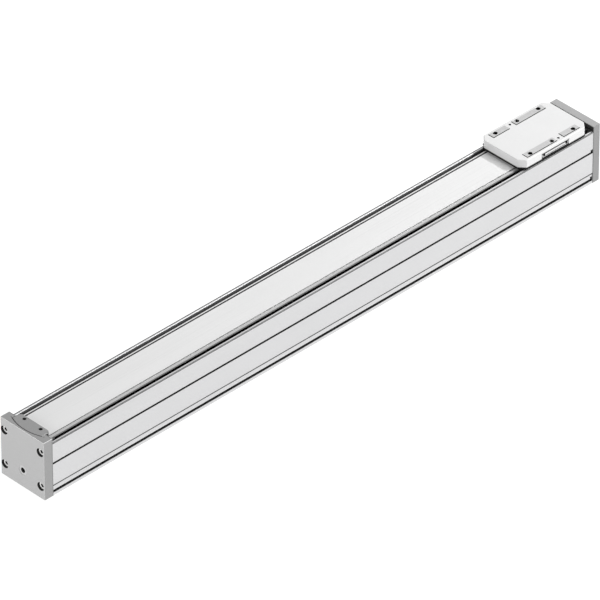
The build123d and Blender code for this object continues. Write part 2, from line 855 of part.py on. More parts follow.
# White slide cover
def slide_outline(inset):
    # Plan of the slide cover: a rectangle with its corners cut off, brought in by the inset
    with BuildLine() as outline:
        Polyline(
            (slide_x - cover_half_length, cover_half_width - corner_cut_y),
            (slide_x - cover_half_length + corner_cut_x, cover_half_width),
            (slide_x + cover_half_length - corner_cut_x, cover_half_width),
            (slide_x + cover_half_length, cover_half_width - corner_cut_y),
            (slide_x + cover_half_length, corner_cut_y - cover_half_width),
            (slide_x + cover_half_length - corner_cut_x, -cover_half_width),
            (slide_x - cover_half_length + corner_cut_x, -cover_half_width),
            (slide_x - cover_half_length, corner_cut_y - cover_half_width),
            close=True,
        )
    make_face(outline.edges())
    if inset > 0:
        offset(amount=-inset, kind=Kind.INTERSECTION, mode=Mode.REPLACE)


with BuildPart() as slide_cover:
    with BuildSketch(level(cover_bottom)):
        slide_outline(0)
    extrude(amount=cover_top - cover_bottom)
    fillet(slide_cover.edges().filter_by(Axis.Z), corner_radius)
    fillet(slide_cover.faces().sort_by(Axis.Z)[-1].edges(), top_edge_radius)
    with BuildSketch(level(cover_bottom)):
        slide_outline(cover_wall)
    extrude(amount=table_top - cover_bottom, mode=Mode.SUBTRACT)
    with BuildSketch(level(table_top)):
        for low_x, high_x, low_y, high_y in pad_limits:
            span(low_x - window_gap, high_x + window_gap, low_y - window_gap,
                 high_y + window_gap)
    extrude(amount=cover_top - table_top, mode=Mode.SUBTRACT)
    for side in (-1, 1):
        with Locations((slide_x, side * (cover_half_width - cover_wall / 2),
                        (cover_bottom + lug_window_top) / 2)):
            Box(2 * lug_window_half_length, cover_wall, lug_window_top - cover_bottom,
                mode=Mode.SUBTRACT)
    bores(level(cover_top), grease_points, grease_hole_radius, cover_top - table_top)
save(slide_cover.part, "slide_cover")


# Wipers
wiper_tongue_start = cover_half_length - cover_wall
for name, direction in (("near_wiper", -1), ("far_wiper", 1)):
    plate_outer = slide_x + direction * cover_half_length
    plate_inner = slide_x + direction * (cover_half_length - wiper_length)
    tongue_outer = slide_x + direction * wiper_tongue_start
    with BuildPart() as wiper:
        with BuildSketch(level(wiper_bottom)):
            slide_outline(wiper_inset)
            with Locations(((plate_outer + plate_inner) / 2, 0)):
                Rectangle(wiper_length, 2 * cover_half_width, mode=Mode.INTERSECT)
        extrude(amount=cover_bottom - wiper_bottom)
        with BuildSketch(level(cover_bottom)):
            span(min(tongue_outer, plate_inner), max(tongue_outer, plate_inner),
                 -wiper_tongue_half_width, wiper_tongue_half_width)
        extrude(amount=wiper_tongue_top - cover_bottom)
        with BuildSketch(level(wiper_finger_bottom)):
            for side in (-1, 1):
                finger_inner = side * leg_inner
                finger_outer = side * leg_outer
                span(min(tongue_outer, plate_inner), max(tongue_outer, plate_inner),
                     min(finger_inner, finger_outer), max(finger_inner, finger_outer))
        extrude(amount=wiper_bottom - wiper_finger_bottom)
    save(wiper.part, name)


# Seals under the long sides of the slide, between the wipers
side_seal_middle = cover_half_width - side_seal_inset - side_seal_width / 2
with BuildPart() as side_seals:
    with BuildSketch(level(wiper_bottom)):
        with Locations((slide_x, -side_seal_middle), (slide_x, side_seal_middle)):
            Rectangle(2 * (cover_half_length - wiper_length), side_seal_width)
    extrude(amount=cover_bottom - wiper_bottom)
save(side_seals.part, "side_seals")


# Ball nut and its screws
with BuildPart() as ball_nut:
    rings(nut_flange_x, nut_flange_length, nut_flange_radius, screw_radius + nut_bore_gap)
    for side in (-1, 1):
        with Locations((nut_flange_x + nut_flange_length / 2, 0,
                        screw_height + side * (nut_flange_flat + nut_flange_radius))):
            Box(nut_flange_length, 2 * nut_flange_radius, 2 * nut_flange_radius,
                mode=Mode.SUBTRACT)
    rings(saddle_start_x, nut_length, nut_radius, screw_radius + nut_bore_gap)
    bores(facing_near(nut_flange_x), nut_screw_points, nut_counterbore_radius,
          nut_counterbore_depth)
    bores(facing_near(nut_flange_x), nut_screw_points, m4_shank_radius + screw_gap,
          nut_flange_length)
save(ball_nut.part, "ball_nut")

save(socket_screws(facing_near(nut_flange_x + nut_counterbore_depth), nut_screw_points,
                   m4_head_radius, m4_head_height, m4_socket_radius, m4_socket_depth,
                   m4_shank_radius, nut_screw_length), "ball_nut_screws")


# Guide carriages, their end caps and the screws that hold them to the slide body
def carriage_section(margin):
    # Upside-down U around the rail
    span(margin - carriage_width / 2, carriage_width / 2 - margin, carriage_bottom + margin,
         carriage_top - margin)
    channel = rail_width / 2 + carriage_clearance
    span(-channel, channel, carriage_bottom, rail_top + 2 * carriage_clearance,
         mode=Mode.SUBTRACT)


for place, direction in (("near", -1), ("far", 1)):
    block_start_x = slide_x + direction * carriage_offset - carriage_block_length / 2
    with BuildPart() as carriage:
        with BuildSketch(across(block_start_x)):
            carriage_section(0)
        extrude(amount=carriage_block_length)
        bores(level(carriage_top),
              [point for point in carriage_screw_points
               if block_start_x < point[0] < block_start_x + carriage_block_length],
              m3_shank_radius + screw_gap,
              carriage_screw_length - (carriage_screw_seat - carriage_top) + screw_end_gap)
    save(carriage.part, f"{place}_guide_carriage")
    with BuildPart() as end_caps:
        for cap_start_x in (block_start_x - carriage_cap_length,
                            block_start_x + carriage_block_length):
            with BuildSketch(across(cap_start_x)):
                carriage_section(carriage_cap_margin)
            extrude(amount=carriage_cap_length)
    save(end_caps.part, f"{place}_carriage_end_caps")

save(socket_screws(level(carriage_screw_seat), carriage_screw_points, m3_head_radius,
                   m3_head_height, m3_socket_radius, m3_socket_depth, m3_shank_radius,
                   carriage_screw_length), "carriage_screws")
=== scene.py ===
import math

import bmesh
import bpy
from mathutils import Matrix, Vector


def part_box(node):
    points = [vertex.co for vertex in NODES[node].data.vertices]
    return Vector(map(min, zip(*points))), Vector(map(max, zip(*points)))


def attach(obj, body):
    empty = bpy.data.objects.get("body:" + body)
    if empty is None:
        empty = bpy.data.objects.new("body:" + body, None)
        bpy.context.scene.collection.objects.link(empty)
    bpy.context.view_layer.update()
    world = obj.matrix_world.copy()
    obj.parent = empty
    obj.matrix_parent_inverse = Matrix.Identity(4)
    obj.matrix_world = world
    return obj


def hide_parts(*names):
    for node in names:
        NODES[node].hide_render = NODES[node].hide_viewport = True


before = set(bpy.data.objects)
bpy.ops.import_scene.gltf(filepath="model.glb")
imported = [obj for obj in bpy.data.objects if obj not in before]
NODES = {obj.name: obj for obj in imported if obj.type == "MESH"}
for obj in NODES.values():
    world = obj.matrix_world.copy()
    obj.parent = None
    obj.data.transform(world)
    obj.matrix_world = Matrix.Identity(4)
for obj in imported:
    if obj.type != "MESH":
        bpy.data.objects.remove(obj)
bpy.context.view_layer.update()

bl_info = {
    "name": "Electric linear axis",
    "version": (1, 0, 0),
    "blender": (4, 5, 0),
    "location": "3D View > Sidebar > Linear Axis",
    "description": "Finishes, screws, ball screw and stage of an electric linear axis",
    "category": "Object",
}

MM = 0.001
# Places nearer to each other than this are one place
TOUCH = 1e-6

# Places on the axis, in metres
NEAR_FACE = -0.375
FAR_FACE = 0.375
PROFILE_START = -0.3636
PROFILE_END = 0.3656
SHAFT_HEIGHT = 0.037
CAP_SCREW_SIDE = 0.0248
CAP_SCREW_HEIGHTS = (0.014, 0.054)
AIR_PORT_HEIGHT = 0.0196
CLAMP_ARC_X = -0.32017
FAR_CLAMP_SCREW_SIDE = 0.012
FAR_CLAMP_SCREW_HEIGHT = 0.0637
MOTOR_BOLT = 0.01414
GROOVE_HEIGHT = 0.0376
FOOT_GROOVE_HEIGHT = 0.0049
STRIP_EDGE = 0.01875
SLIDE_X = 0.3124
SLIDE_MIDDLE = (SLIDE_X, 0.0, 0.0)
TABLE_TOP = 0.0719
PAD_TOP = 0.0742
COVER_TOP = 0.0737
COVER_SIDE = 0.0297
LUG_HOLE_X = 0.0155
FLOOR_GAP = 0.0003
GREASE_HOLES = ((SLIDE_X + 0.009, -0.0246, 0.0), (SLIDE_X - 0.009, 0.0246, 0.0))

# Directions that a mask measures
ALONG = (1, 0, 0)
ACROSS = (0, 1, 0)
UP = (0, 0, 1)
SECTION = (0, 1, 1)
PLAN = (1, 1, 0)
SHARP = 0.00003


# Sizes and colours that a user would change

def colour_setting(name, description, *colour):
    return bpy.props.FloatVectorProperty(
        name=name, description=description, subtype="COLOR", size=3, min=0, max=1,
        default=colour)


class AxisFinishes(bpy.types.PropertyGroup):
    """Colours of the axis's finishes"""
    profile: colour_setting(
        "Profile", "Anodised skin of the extruded profile", 0.63, 0.63, 0.635)
    # Outer faces of the caps: milled, and lighter than the sides partly as painted light
    cap_face_milled_and_lit: colour_setting(
        "Cap faces", "Milled outer faces of the end caps", 0.46, 0.46, 0.46)
    cap_sides: colour_setting(
        "Cap sides", "Blasted sides and tops of the end caps", 0.345, 0.345, 0.345)
    strip: colour_setting(
        "Cover strip", "Rolled steel of the cover strip", 0.80, 0.80, 0.80)
    slide_metal: colour_setting(
        "Slide body", "Milled aluminium of the slide body", 0.50, 0.50, 0.50)
    slide_white: colour_setting(
        "Slide cover", "White moulded plastic of the slide cover", 0.74, 0.74, 0.74)
    screw: colour_setting(
        "Screws", "Plated steel of the screws", 0.92, 0.92, 0.91)
    steel: colour_setting(
        "Ground steel", "Ground steel of rail, carriages, nut and screw", 0.52, 0.52, 0.51)
    rubber: colour_setting(
        "Rubber", "Black rubber of wipers and buffers", 0.022, 0.022, 0.023)
    shade: colour_setting(
        "Bores", "Unlit bores, sockets and seams", 0.012, 0.012, 0.012)


class AxisScrewSizes(bpy.types.PropertyGroup):
    """Sizes of the socket head screws"""
    head_round: bpy.props.FloatProperty(
        name="Head rounding", description="Rounding of a head's rim, for its radius of one",
        default=0.11, min=0.01, max=0.3)
    flute_depth: bpy.props.FloatProperty(
        name="Flute depth", description="Depth of the flutes on a head, for its radius of one",
        default=0.035, min=0.0, max=0.1)
    tip_chamfer: bpy.props.FloatProperty(
        name="Tip chamfer", description="Chamfer at the end of a shank, for its radius of one",
        default=0.2, min=0.01, max=0.5)


class AxisBallScrewSizes(bpy.types.PropertyGroup):
    """Sizes of the ball screw"""
    lead: bpy.props.FloatProperty(
        name="Lead", description="Travel of the nut for one turn",
        unit="LENGTH", default=0.010, min=0.002, max=0.03)
    groove_width: bpy.props.FloatProperty(
        name="Groove width", description="Width of the ball groove at the surface",
        unit="LENGTH", default=0.0034, min=0.001, max=0.006)
    groove_depth: bpy.props.FloatProperty(
        name="Groove depth", description="Depth of the ball groove",
        unit="LENGTH", default=0.0011, min=0.0002, max=0.002)


class AxisStage(bpy.types.PropertyGroup):
    """Floor, light and camera"""
    floor_size: bpy.props.FloatProperty(
        name="Floor size", description="Length of the floor's edges",
        unit="LENGTH", default=60.0, min=5.0, max=200.0)
    key_power: bpy.props.FloatProperty(
        name="Key light", description="Power of the large light at the drive end",
        unit="POWER", default=360.0, min=0.0, max=2000.0)
    top_power: bpy.props.FloatProperty(
        name="Top light", description="Power of the light above the drive end",
        unit="POWER", default=2.3, min=0.0, max=500.0)
    fill_power: bpy.props.FloatProperty(
        name="Fill light", description="Power of the light that faces the near cap",
        unit="POWER", default=28.0, min=0.0, max=500.0)
    room: bpy.props.FloatProperty(
        name="Room light", description="Strength of the even light of the room",
        default=0.45, min=0.0, max=5.0)
    lens: bpy.props.FloatProperty(
        name="Lens", description="Focal length of the camera in millimetres",
        default=556.46, min=20.0, max=2000.0)
    distance: bpy.props.FloatProperty(
        name="Camera distance", description="Distance from the camera to the axis",
        unit="LENGTH", default=8.9643, min=0.5, max=50.0)
    azimuth: bpy.props.FloatProperty(
        name="Camera azimuth", description="Angle of the camera round the axis",
        unit="ROTATION", default=math.radians(-44.2795))
    elevation: bpy.props.FloatProperty(
        name="Camera elevation", description="Angle of the camera above the floor",
        unit="ROTATION", default=math.radians(36.1758))
    aim: bpy.props.FloatVectorProperty(
        name="Camera aim", description="Point that the camera looks at",
        subtype="TRANSLATION", size=3, default=(-0.00719, 0.00190, 0.03029))


# Node trees

def add(tree, kind, inputs=None, **settings):
    """A node of a kind, with its inputs linked or set"""
    made = tree.nodes.new(kind)
    for key, value in settings.items():
        setattr(made, key, value)
    for key, value in (inputs or {}).items():
        if isinstance(value, bpy.types.NodeSocket):
            tree.links.new(value, made.inputs[key])
        else:
            made.inputs[key].default_value = value
    return made


def maths(tree, operation, first, second=None, clamp=False):
    inputs = {0: first} if second is None else {0: first, 1: second}
    return add(tree, "ShaderNodeMath", inputs, operation=operation, use_clamp=clamp).outputs[0]


def vectors(tree, operation, first, second=None):
    inputs = {0: first} if second is None else {0: first, 1: second}
    return add(tree, "ShaderNodeVectorMath", inputs, operation=operation).outputs[0]


def ramp(tree, value, low, high, to_low=0.0, to_high=1.0, smooth=True):
    """The value carried from one range to another, and held at its ends"""
    kind = "SMOOTHSTEP" if smooth else "LINEAR"
    return add(tree, "ShaderNodeMapRange", {
        "Value": value, "From Min": low, "From Max": high, "To Min": to_low, "To Max": to_high,
    }, interpolation_type=kind, clamp=True).outputs["Result"]


def mix(tree, factor, first, second, blend="MIX"):
    made = add(tree, "ShaderNodeMix", data_type="RGBA", blend_type=blend)
    sockets = {"Factor": 0, "A": 6, "B": 7}
    for name, value in (("Factor", factor), ("A", first), ("B", second)):
        socket = made.inputs[sockets[name]]
        if isinstance(value, bpy.types.NodeSocket):
            tree.links.new(value, socket)
        else:
            socket.default_value = value
    return made.outputs[2]


def new_group(name, inputs, outputs):
    tree = bpy.data.node_groups.new(name, "ShaderNodeTree")
    for label, kind, default in inputs:
        socket = tree.interface.new_socket(name=label, in_out="INPUT", socket_type=kind)
        socket.default_value = default
    for label, kind in outputs:
        tree.interface.new_socket(name=label, in_out="OUTPUT", socket_type=kind)
    start = tree.nodes.new("NodeGroupInput")
    end = tree.nodes.new("NodeGroupOutput")
    return tree, start.outputs, end.inputs


FLOAT = "NodeSocketFloat"
VECTOR = "NodeSocketVector"


def make_grain_group():
    """Fine grain, stretched along one direction where the scale is smaller"""
    tree, given, out = new_group("Grain", [
        ("Scale", VECTOR, (1000.0, 1000.0, 1000.0)),
        ("Detail", FLOAT, 3.0),
        ("Low", FLOAT, 0.95),
        ("High", FLOAT, 1.05),
    ], [("Value", FLOAT), ("Height", FLOAT)])
    place = add(tree, "ShaderNodeTexCoord").outputs["Object"]
    noise = add(tree, "ShaderNodeTexNoise", {
        "Vector": vectors(tree, "MULTIPLY", place, given["Scale"]),
        "Scale": 1.0, "Detail": given["Detail"], "Roughness": 0.55,
    })
    tree.links.new(ramp(tree, noise.outputs["Fac"], 0.3, 0.7, given["Low"], given["High"],
                        smooth=False), out["Value"])
    tree.links.new(noise.outputs["Fac"], out["Height"])
    return tree


def make_band_group():
    """One between two places along a direction, nothing elsewhere"""
    tree, given, out = new_group("Band", [
        ("Along", VECTOR, (1.0, 0.0, 0.0)),
        ("Low", FLOAT, 0.0),
        ("High", FLOAT, 1.0),
        ("Soft", FLOAT, 0.0001),
    ], [("Mask", FLOAT)])
    place = add(tree, "ShaderNodeTexCoord").outputs["Object"]
    reach = add(tree, "ShaderNodeVectorMath", {0: place, 1: given["Along"]},
                operation="DOT_PRODUCT").outputs["Value"]
    rise = ramp(tree, reach, maths(tree, "SUBTRACT", given["Low"], given["Soft"]), given["Low"])
    fall = ramp(tree, reach, given["High"], maths(tree, "ADD", given["High"], given["Soft"]),
                1.0, 0.0)
    tree.links.new(maths(tree, "MULTIPLY", rise, fall), out["Mask"])
    return tree


def make_bore_group():
    """One within a radius of an axis, mirrored where Mirror is one"""
    tree, given, out = new_group("Bore", [
        ("Centre", VECTOR, (0.0, 0.0, 0.0)),
        ("Counts", VECTOR, (0.0, 1.0, 1.0)),
        ("Mirror", VECTOR, (0.0, 0.0, 0.0)),
        ("Shift", VECTOR, (0.0, 0.0, 0.0)),
        ("Radius", FLOAT, 0.005),
        ("Soft", FLOAT, 0.00005),
    ], [("Mask", FLOAT), ("Distance", FLOAT)])
    place = add(tree, "ShaderNodeTexCoord").outputs["Object"]
    place = vectors(tree, "SUBTRACT", place, given["Shift"])
    folded = vectors(tree, "MULTIPLY", vectors(tree, "ABSOLUTE", place), given["Mirror"])
    plain = vectors(tree, "MULTIPLY", place,
                    vectors(tree, "SUBTRACT", (1.0, 1.0, 1.0), given["Mirror"]))
    offset = vectors(tree, "SUBTRACT", vectors(tree, "ADD", folded, plain), given["Centre"])
    reach = add(tree, "ShaderNodeVectorMath", {
        0: vectors(tree, "MULTIPLY", offset, given["Counts"]),
    }, operation="LENGTH").outputs["Value"]
    tree.links.new(ramp(tree, reach, given["Radius"],
                        maths(tree, "ADD", given["Radius"], given["Soft"]), 1.0, 0.0),
                   out["Mask"])
    tree.links.new(reach, out["Distance"])
    return tree


def make_wear_group():
    """Bright wear along the edges of a block, broken up by noise"""
    tree, given, out = new_group("Edge wear", [
        ("Centre", VECTOR, (0.0, 0.0, 0.0)),
        ("Half", VECTOR, (0.1, 0.1, 0.1)),
        ("Width", FLOAT, 0.0005),
        ("Breaks", FLOAT, 0.35),
    ], [("Mask", FLOAT)])
    place = add(tree, "ShaderNodeTexCoord").outputs["Object"]
    inside = vectors(tree, "SUBTRACT", given["Half"],
                     vectors(tree, "ABSOLUTE", vectors(tree, "SUBTRACT", place,
                                                       given["Centre"])))
    parts = add(tree, "ShaderNodeSeparateXYZ", {"Vector": inside}).outputs
    near = [ramp(tree, part, 0.0, given["Width"], 1.0, 0.0) for part in parts]
    pairs = [maths(tree, "MULTIPLY", near[first], near[second])
             for first, second in ((0, 1), (1, 2), (0, 2))]
    edge = maths(tree, "MAXIMUM", maths(tree, "MAXIMUM", pairs[0], pairs[1]), pairs[2])
    noise = add(tree, "ShaderNodeTexNoise", {"Vector": place, "Scale": 900.0, "Detail": 2.0})
    breaks = ramp(tree, noise.outputs["Fac"], given["Breaks"],
                  maths(tree, "ADD", given["Breaks"], 0.25))
    tree.links.new(maths(tree, "MULTIPLY", edge, breaks), out["Mask"])
    return tree


def make_groups():
    return {
        "grain": make_grain_group(),
        "band": make_band_group(),
        "bore": make_bore_group(),
        "wear": make_wear_group(),
    }


GROUPS = {}


def rgba(colour):
    return (colour[0], colour[1], colour[2], 1.0)


class Finish:
    """A material with its node tree, and its colour as far as it is built up"""

    def __init__(self, colours, name, roughness, metallic=0.0):
        self.material = bpy.data.materials.new(name)
        self.material.use_nodes = True
        self.tree = self.material.node_tree
        self.shader = self.tree.nodes["Principled BSDF"]
        self.shader.inputs["Roughness"].default_value = roughness
        self.shader.inputs["Metallic"].default_value = metallic
        self.shade = rgba(colours.shade)
        self.colour = None

    def group(self, group, **values):
        """Places a shared group and returns its outputs"""
        made = self.tree.nodes.new("ShaderNodeGroup")
        made.node_tree = GROUPS[group]
        for key, value in values.items():
            made.inputs[key.capitalize()].default_value = value
        return made.outputs

    def grain(self, scale, detail, low, high):
        return self.group("grain", scale=scale, detail=detail, low=low, high=high)

    def band(self, direction, low, high, soft=0.0001):
        """Mask of what lies between two places along a direction"""
        return self.group("band", along=direction, low=low, high=high, soft=soft)["Mask"]

    def bore(self, radius, counts, soft=0.0001, **place):
        """Mask of what lies within a radius, measured in the directions that count"""
        return self.group("bore", radius=radius, counts=counts, soft=soft, **place)["Mask"]

    def wear(self, centre, half, width, breaks):
        return self.group("wear", centre=centre, half=half, width=width, breaks=breaks)["Mask"]

    def times(self, first, *others):
        for other in others:
            first = maths(self.tree, "MULTIPLY", first, other)
        return first

    def most(self, first, *others):
        """The highest of several masks"""
        for other in others:
            first = maths(self.tree, "MAXIMUM", first, other)
        return first

    def less(self, mask, taken):
        return maths(self.tree, "SUBTRACT", mask, taken, clamp=True)

    def outside(self, mask):
        return maths(self.tree, "SUBTRACT", 1.0, mask)

    def tint(self, colour, *values):
        """The colour times values that change over the surface"""
        value = self.times(*values)
        grey = add(self.tree, "ShaderNodeCombineColor", {0: value, 1: value, 2: value})
        return mix(self.tree, 1.0, rgba(colour), grey.outputs[0], "MULTIPLY")

    def cover(self, colour, *masks):
        """Lays a colour over the finish, by the product of its masks and weight"""
        self.colour = mix(self.tree, self.times(*masks), self.colour, colour)

    def lighten(self, grey, *masks):
        self.cover(rgba((grey, grey, grey)), *masks)

    def darken(self, *masks):
        """Lays the shade of unlit places over the finish"""
        self.cover(self.shade, *masks)

    def complete(self, grain=None, rough=None, relief=None):
        """Links the colour, and the roughness and relief that follow a grain"""
        links, inputs = self.tree.links, self.shader.inputs
        links.new(self.colour, inputs["Base Color"])
        if rough:
            links.new(ramp(self.tree, grain["Height"], 0.3, 0.7, *rough, smooth=False),
                      inputs["Roughness"])
        if relief:
            distance, strength = relief
            bump = add(self.tree, "ShaderNodeBump", {
                "Height": grain["Height"], "Distance": distance, "Strength": strength})
            links.new(bump.outputs["Normal"], inputs["Normal"])
        return self.material


def set_finish(material, *nodes):
    """Puts one material on CAD nodes"""
    for node in nodes:
        slots = NODES[node].data.materials
        slots.clear()
        slots.append(material)


# Finishes

def profile_finish(colours):
    finish = Finish(colours, "Profile skin", 0.42, 0.35)
    lines = finish.grain((2.0, 2600.0, 2600.0), 4.0, 0.975, 1.02)
    cloud = finish.grain((9.0, 30.0, 30.0), 2.0, 0.985, 1.012)
    finish.colour = finish.tint(colours.profile, lines["Value"], cloud["Value"])
    finish.lighten(0.8, finish.wear((0.001, 0.0, 0.0), (0.3646, 0.0298, 0.0615), 0.0004, 0.2),
                   0.3)
    # Unlit rims of the two top edges, with more of the far one, and of the step over the foot
    shade_lines = [finish.bore(radius, SECTION, 0.0002, centre=(0, side, height), mirror=mirror)
            for side, height, radius, mirror in ((0.0297, 0.0612, 0.0008, ACROSS),
                                                 (0.0294, 0.0615, 0.0010, (0, 0, 0)),
                                                 (0.0296, 0.0115, 0.0009, ACROSS))]
    finish.darken(finish.most(*shade_lines), 0.9)
    # Painted shade on the far ledge
    far_ledge = finish.band(ACROSS, 0.0262, 0.0272)
    finish.darken(far_ledge, 0.3)
    # Painted shade in the mouth and inside of each side groove: its height, half its width, and
    # reach from the middle
    grooves = [finish.times(finish.band(UP, height - half, height + half, SHARP),
                            finish.bore(reach, ACROSS, SHARP))
               for height, half, reach in ((GROOVE_HEIGHT, 0.00120, 0.02990),
                                           (GROOVE_HEIGHT, 0.00205, 0.02862),
                                           (FOOT_GROOVE_HEIGHT, 0.00163, 0.02974),
                                           (FOOT_GROOVE_HEIGHT, 0.00275, 0.02822))]
    # Painted shade inside the profile, heavier below the mouths of the top slots
    deep = finish.band(UP, 0.0, 0.0590, 0.0006)
    weight = maths(finish.tree, "ADD", finish.times(deep, 0.32), 0.50)
    inside = finish.times(finish.bore(0.02684, ACROSS, SHARP), weight)
    finish.darken(finish.most(finish.times(finish.most(*grooves), 0.95), inside))
    return finish.complete(lines, rough=(0.36, 0.5), relief=(0.00001, 0.35))


def clamp_line(finish, inner, outer):
    """Ring between two radii along the round front edge of the near strip clamp, where painted
    shade marks the gap
    """
    small, large = [finish.bore(radius, PLAN, 0.00008, centre=(CLAMP_ARC_X, 0, 0))
                    for radius in (inner, outer)]
    front = finish.band((-1, 0, 0), 0.3676, 1.0, 0.0004)
    top = finish.band(UP, 0.0669, 1.0)
    return finish.times(finish.less(large, small), front, top)


# Grain of blasted metal: scale, detail, lowest and highest value
BLASTED = ((1500.0, 1500.0, 1500.0), 3.0, 0.95, 1.05)


def cap_finish(colours, name, face, seam, holes, painted_light_tone, flank_shade):
    """Blasted sides and top, milled outer face lighter partly as painted light, painted shade in
    the bores and on the flanks, painted highlight on the chamfer
    """
    finish = Finish(colours, name, 0.45, 0.3)
    reach = abs(face)
    way = face / reach
    outward = (way, 0.0, 0.0)
    grain = finish.grain(*BLASTED)
    cloud = finish.grain((40.0, 40.0, 40.0), 2.0, 0.98, 1.02)
    lines = finish.grain((60.0, 45.0, 2400.0), 3.0, 0.985, 1.015)
    # Colour of the sides and top, darker on the near cap and lighter on the far one as painted
    # light
    finish.colour = finish.tint([part * painted_light_tone for part in colours.cap_sides], grain["Value"],
                                cloud["Value"])
    # Painted shade on the flanks
    flank = finish.outside(finish.bore(0.0295, ACROSS))
    finish.darken(flank, flank_shade)
    # Milled outer face, its lighter colour partly painted light
    finish.cover(finish.tint(colours.cap_face_milled_and_lit, lines["Value"]),
                 finish.band(outward, reach - 0.00002, 1.0, 0.00002))
    # Painted highlight on the chamfer round the outer face, weaker on the flanks and round the
    # air port
    chamfer = finish.band(outward, reach - 0.00042, reach - SHARP, 0.00002)
    port = finish.bore(0.0056, SECTION, centre=(0, 0, AIR_PORT_HEIGHT))
    finish.lighten(0.9, finish.less(finish.times(chamfer, 0.85),
                                    finish.times(finish.most(port, flank), 0.45)))
    # Painted shade in the gap at the seam with the profile
    seam_places = sorted((seam, seam + way * 0.0009))
    finish.darken(finish.band(ALONG, *seam_places), 0.3)
    # Painted shade in the bores, below the outer face
    bores = [finish.bore(radius, SECTION, SHARP, centre=(0, side, height), mirror=ACROSS)
             for side, height, radius in holes]
    below_face = finish.band(outward, 0.0, reach - 0.00006, 0.00004)
    unlit = finish.times(finish.most(*bores), below_face)
    if face > 0:
        # Painted shadow on the inner face over the profile, behind the slide
        stop = finish.band(ALONG, seam - SHARP, seam + SHARP, SHARP)
        unlit = finish.most(unlit, finish.times(stop, finish.band(UP, 0.0613, 0.0671), 0.85))
    else:
        # Painted shade on the walls of the strip clamp's pocket and in the clamp's gap, and a
        # painted highlight on the top edges
        pocket = finish.times(finish.band(UP, 0.0621, 0.0671),
                              finish.bore(0.0209, ACROSS, 0.00005),
                              finish.band(ALONG, -0.3728, 0.0))
        unlit = finish.most(unlit, pocket)
        edge = finish.bore(0.0004, SECTION, centre=(0, 0.030, 0.0673), mirror=ACROSS)
        finish.lighten(0.9, edge, 0.8)
        finish.darken(clamp_line(finish, 0.0521, 0.05285), 0.7)
    finish.darken(unlit)
    return finish.complete(grain, rough=(0.4, 0.55), relief=(0.00002, 0.4))


def clamp_finish(colours):
    finish = Finish(colours, "Clamp metal", 0.45, 0.3)
    grain = finish.grain(*BLASTED)
    # The caps' blasted colour, a little darker as painted shade
    finish.colour = finish.tint([part * 0.945 for part in colours.cap_sides], grain["Value"])
    # Painted shade on the walls below the top, in the gap along the front and at the rear
    # corners
    walls = finish.band(UP, 0.0, 0.06705, 0.00006)
    finish.darken(walls, 0.72)
    finish.darken(clamp_line(finish, 0.05175, 0.05213), 0.7)
    corner = finish.bore(0.0012, PLAN, 0.0018, centre=(-0.3592, 0.0212, 0), mirror=ACROSS)
    finish.darken(corner, 0.45)
    return finish.complete(grain, relief=(0.00002, 0.4))


def strip_finish(colours):
    finish = Finish(colours, "Rolled strip steel", 0.36, 0.25)
    lines = finish.grain((3.0, 3200.0, 3200.0), 4.0, 0.985, 1.015)
    cloud = finish.grain((6.0, 50.0, 50.0), 2.0, 0.985, 1.015)
    finish.colour = finish.tint(colours.strip, lines["Value"], cloud["Value"])
    # Painted shade over the far part of the strip
    finish.darken(finish.band(ALONG, 0.2, 1.0, 0.35), 0.07)
    # Painted shade on the flanges, heavier on the near one, a painted shadow on what lies behind
    # the slide, and painted shade on the lips
    far_half = finish.band(ACROSS, 0.0, 1.0)
    weight = ramp(finish.tree, far_half, 0.0, 1.0, 0.32, 0.0)
    finish.darken(finish.band(UP, 0.0, 0.06135, 0.0003), weight)
    past_slide = finish.band(ALONG, 0.3600, 1.0, 0.0005)
    finish.darken(past_slide, 0.8)
    finish.darken(finish.band(UP, 0.0, 0.06115, 0.00005), 0.2)
    # Painted shade on the bends between the middle and the flanges, heaviest on the far one,
    # which lies in its own shadow
    for low, high, weight in ((-STRIP_EDGE - 0.0002, -STRIP_EDGE + 0.0001, 0.7),
                              (STRIP_EDGE - 0.0006, STRIP_EDGE + 0.0020, 1.0)):
        finish.darken(finish.band(ACROSS, low, high), weight)
    return finish.complete(lines, rough=(0.26, 0.38), relief=(0.00001, 0.3))


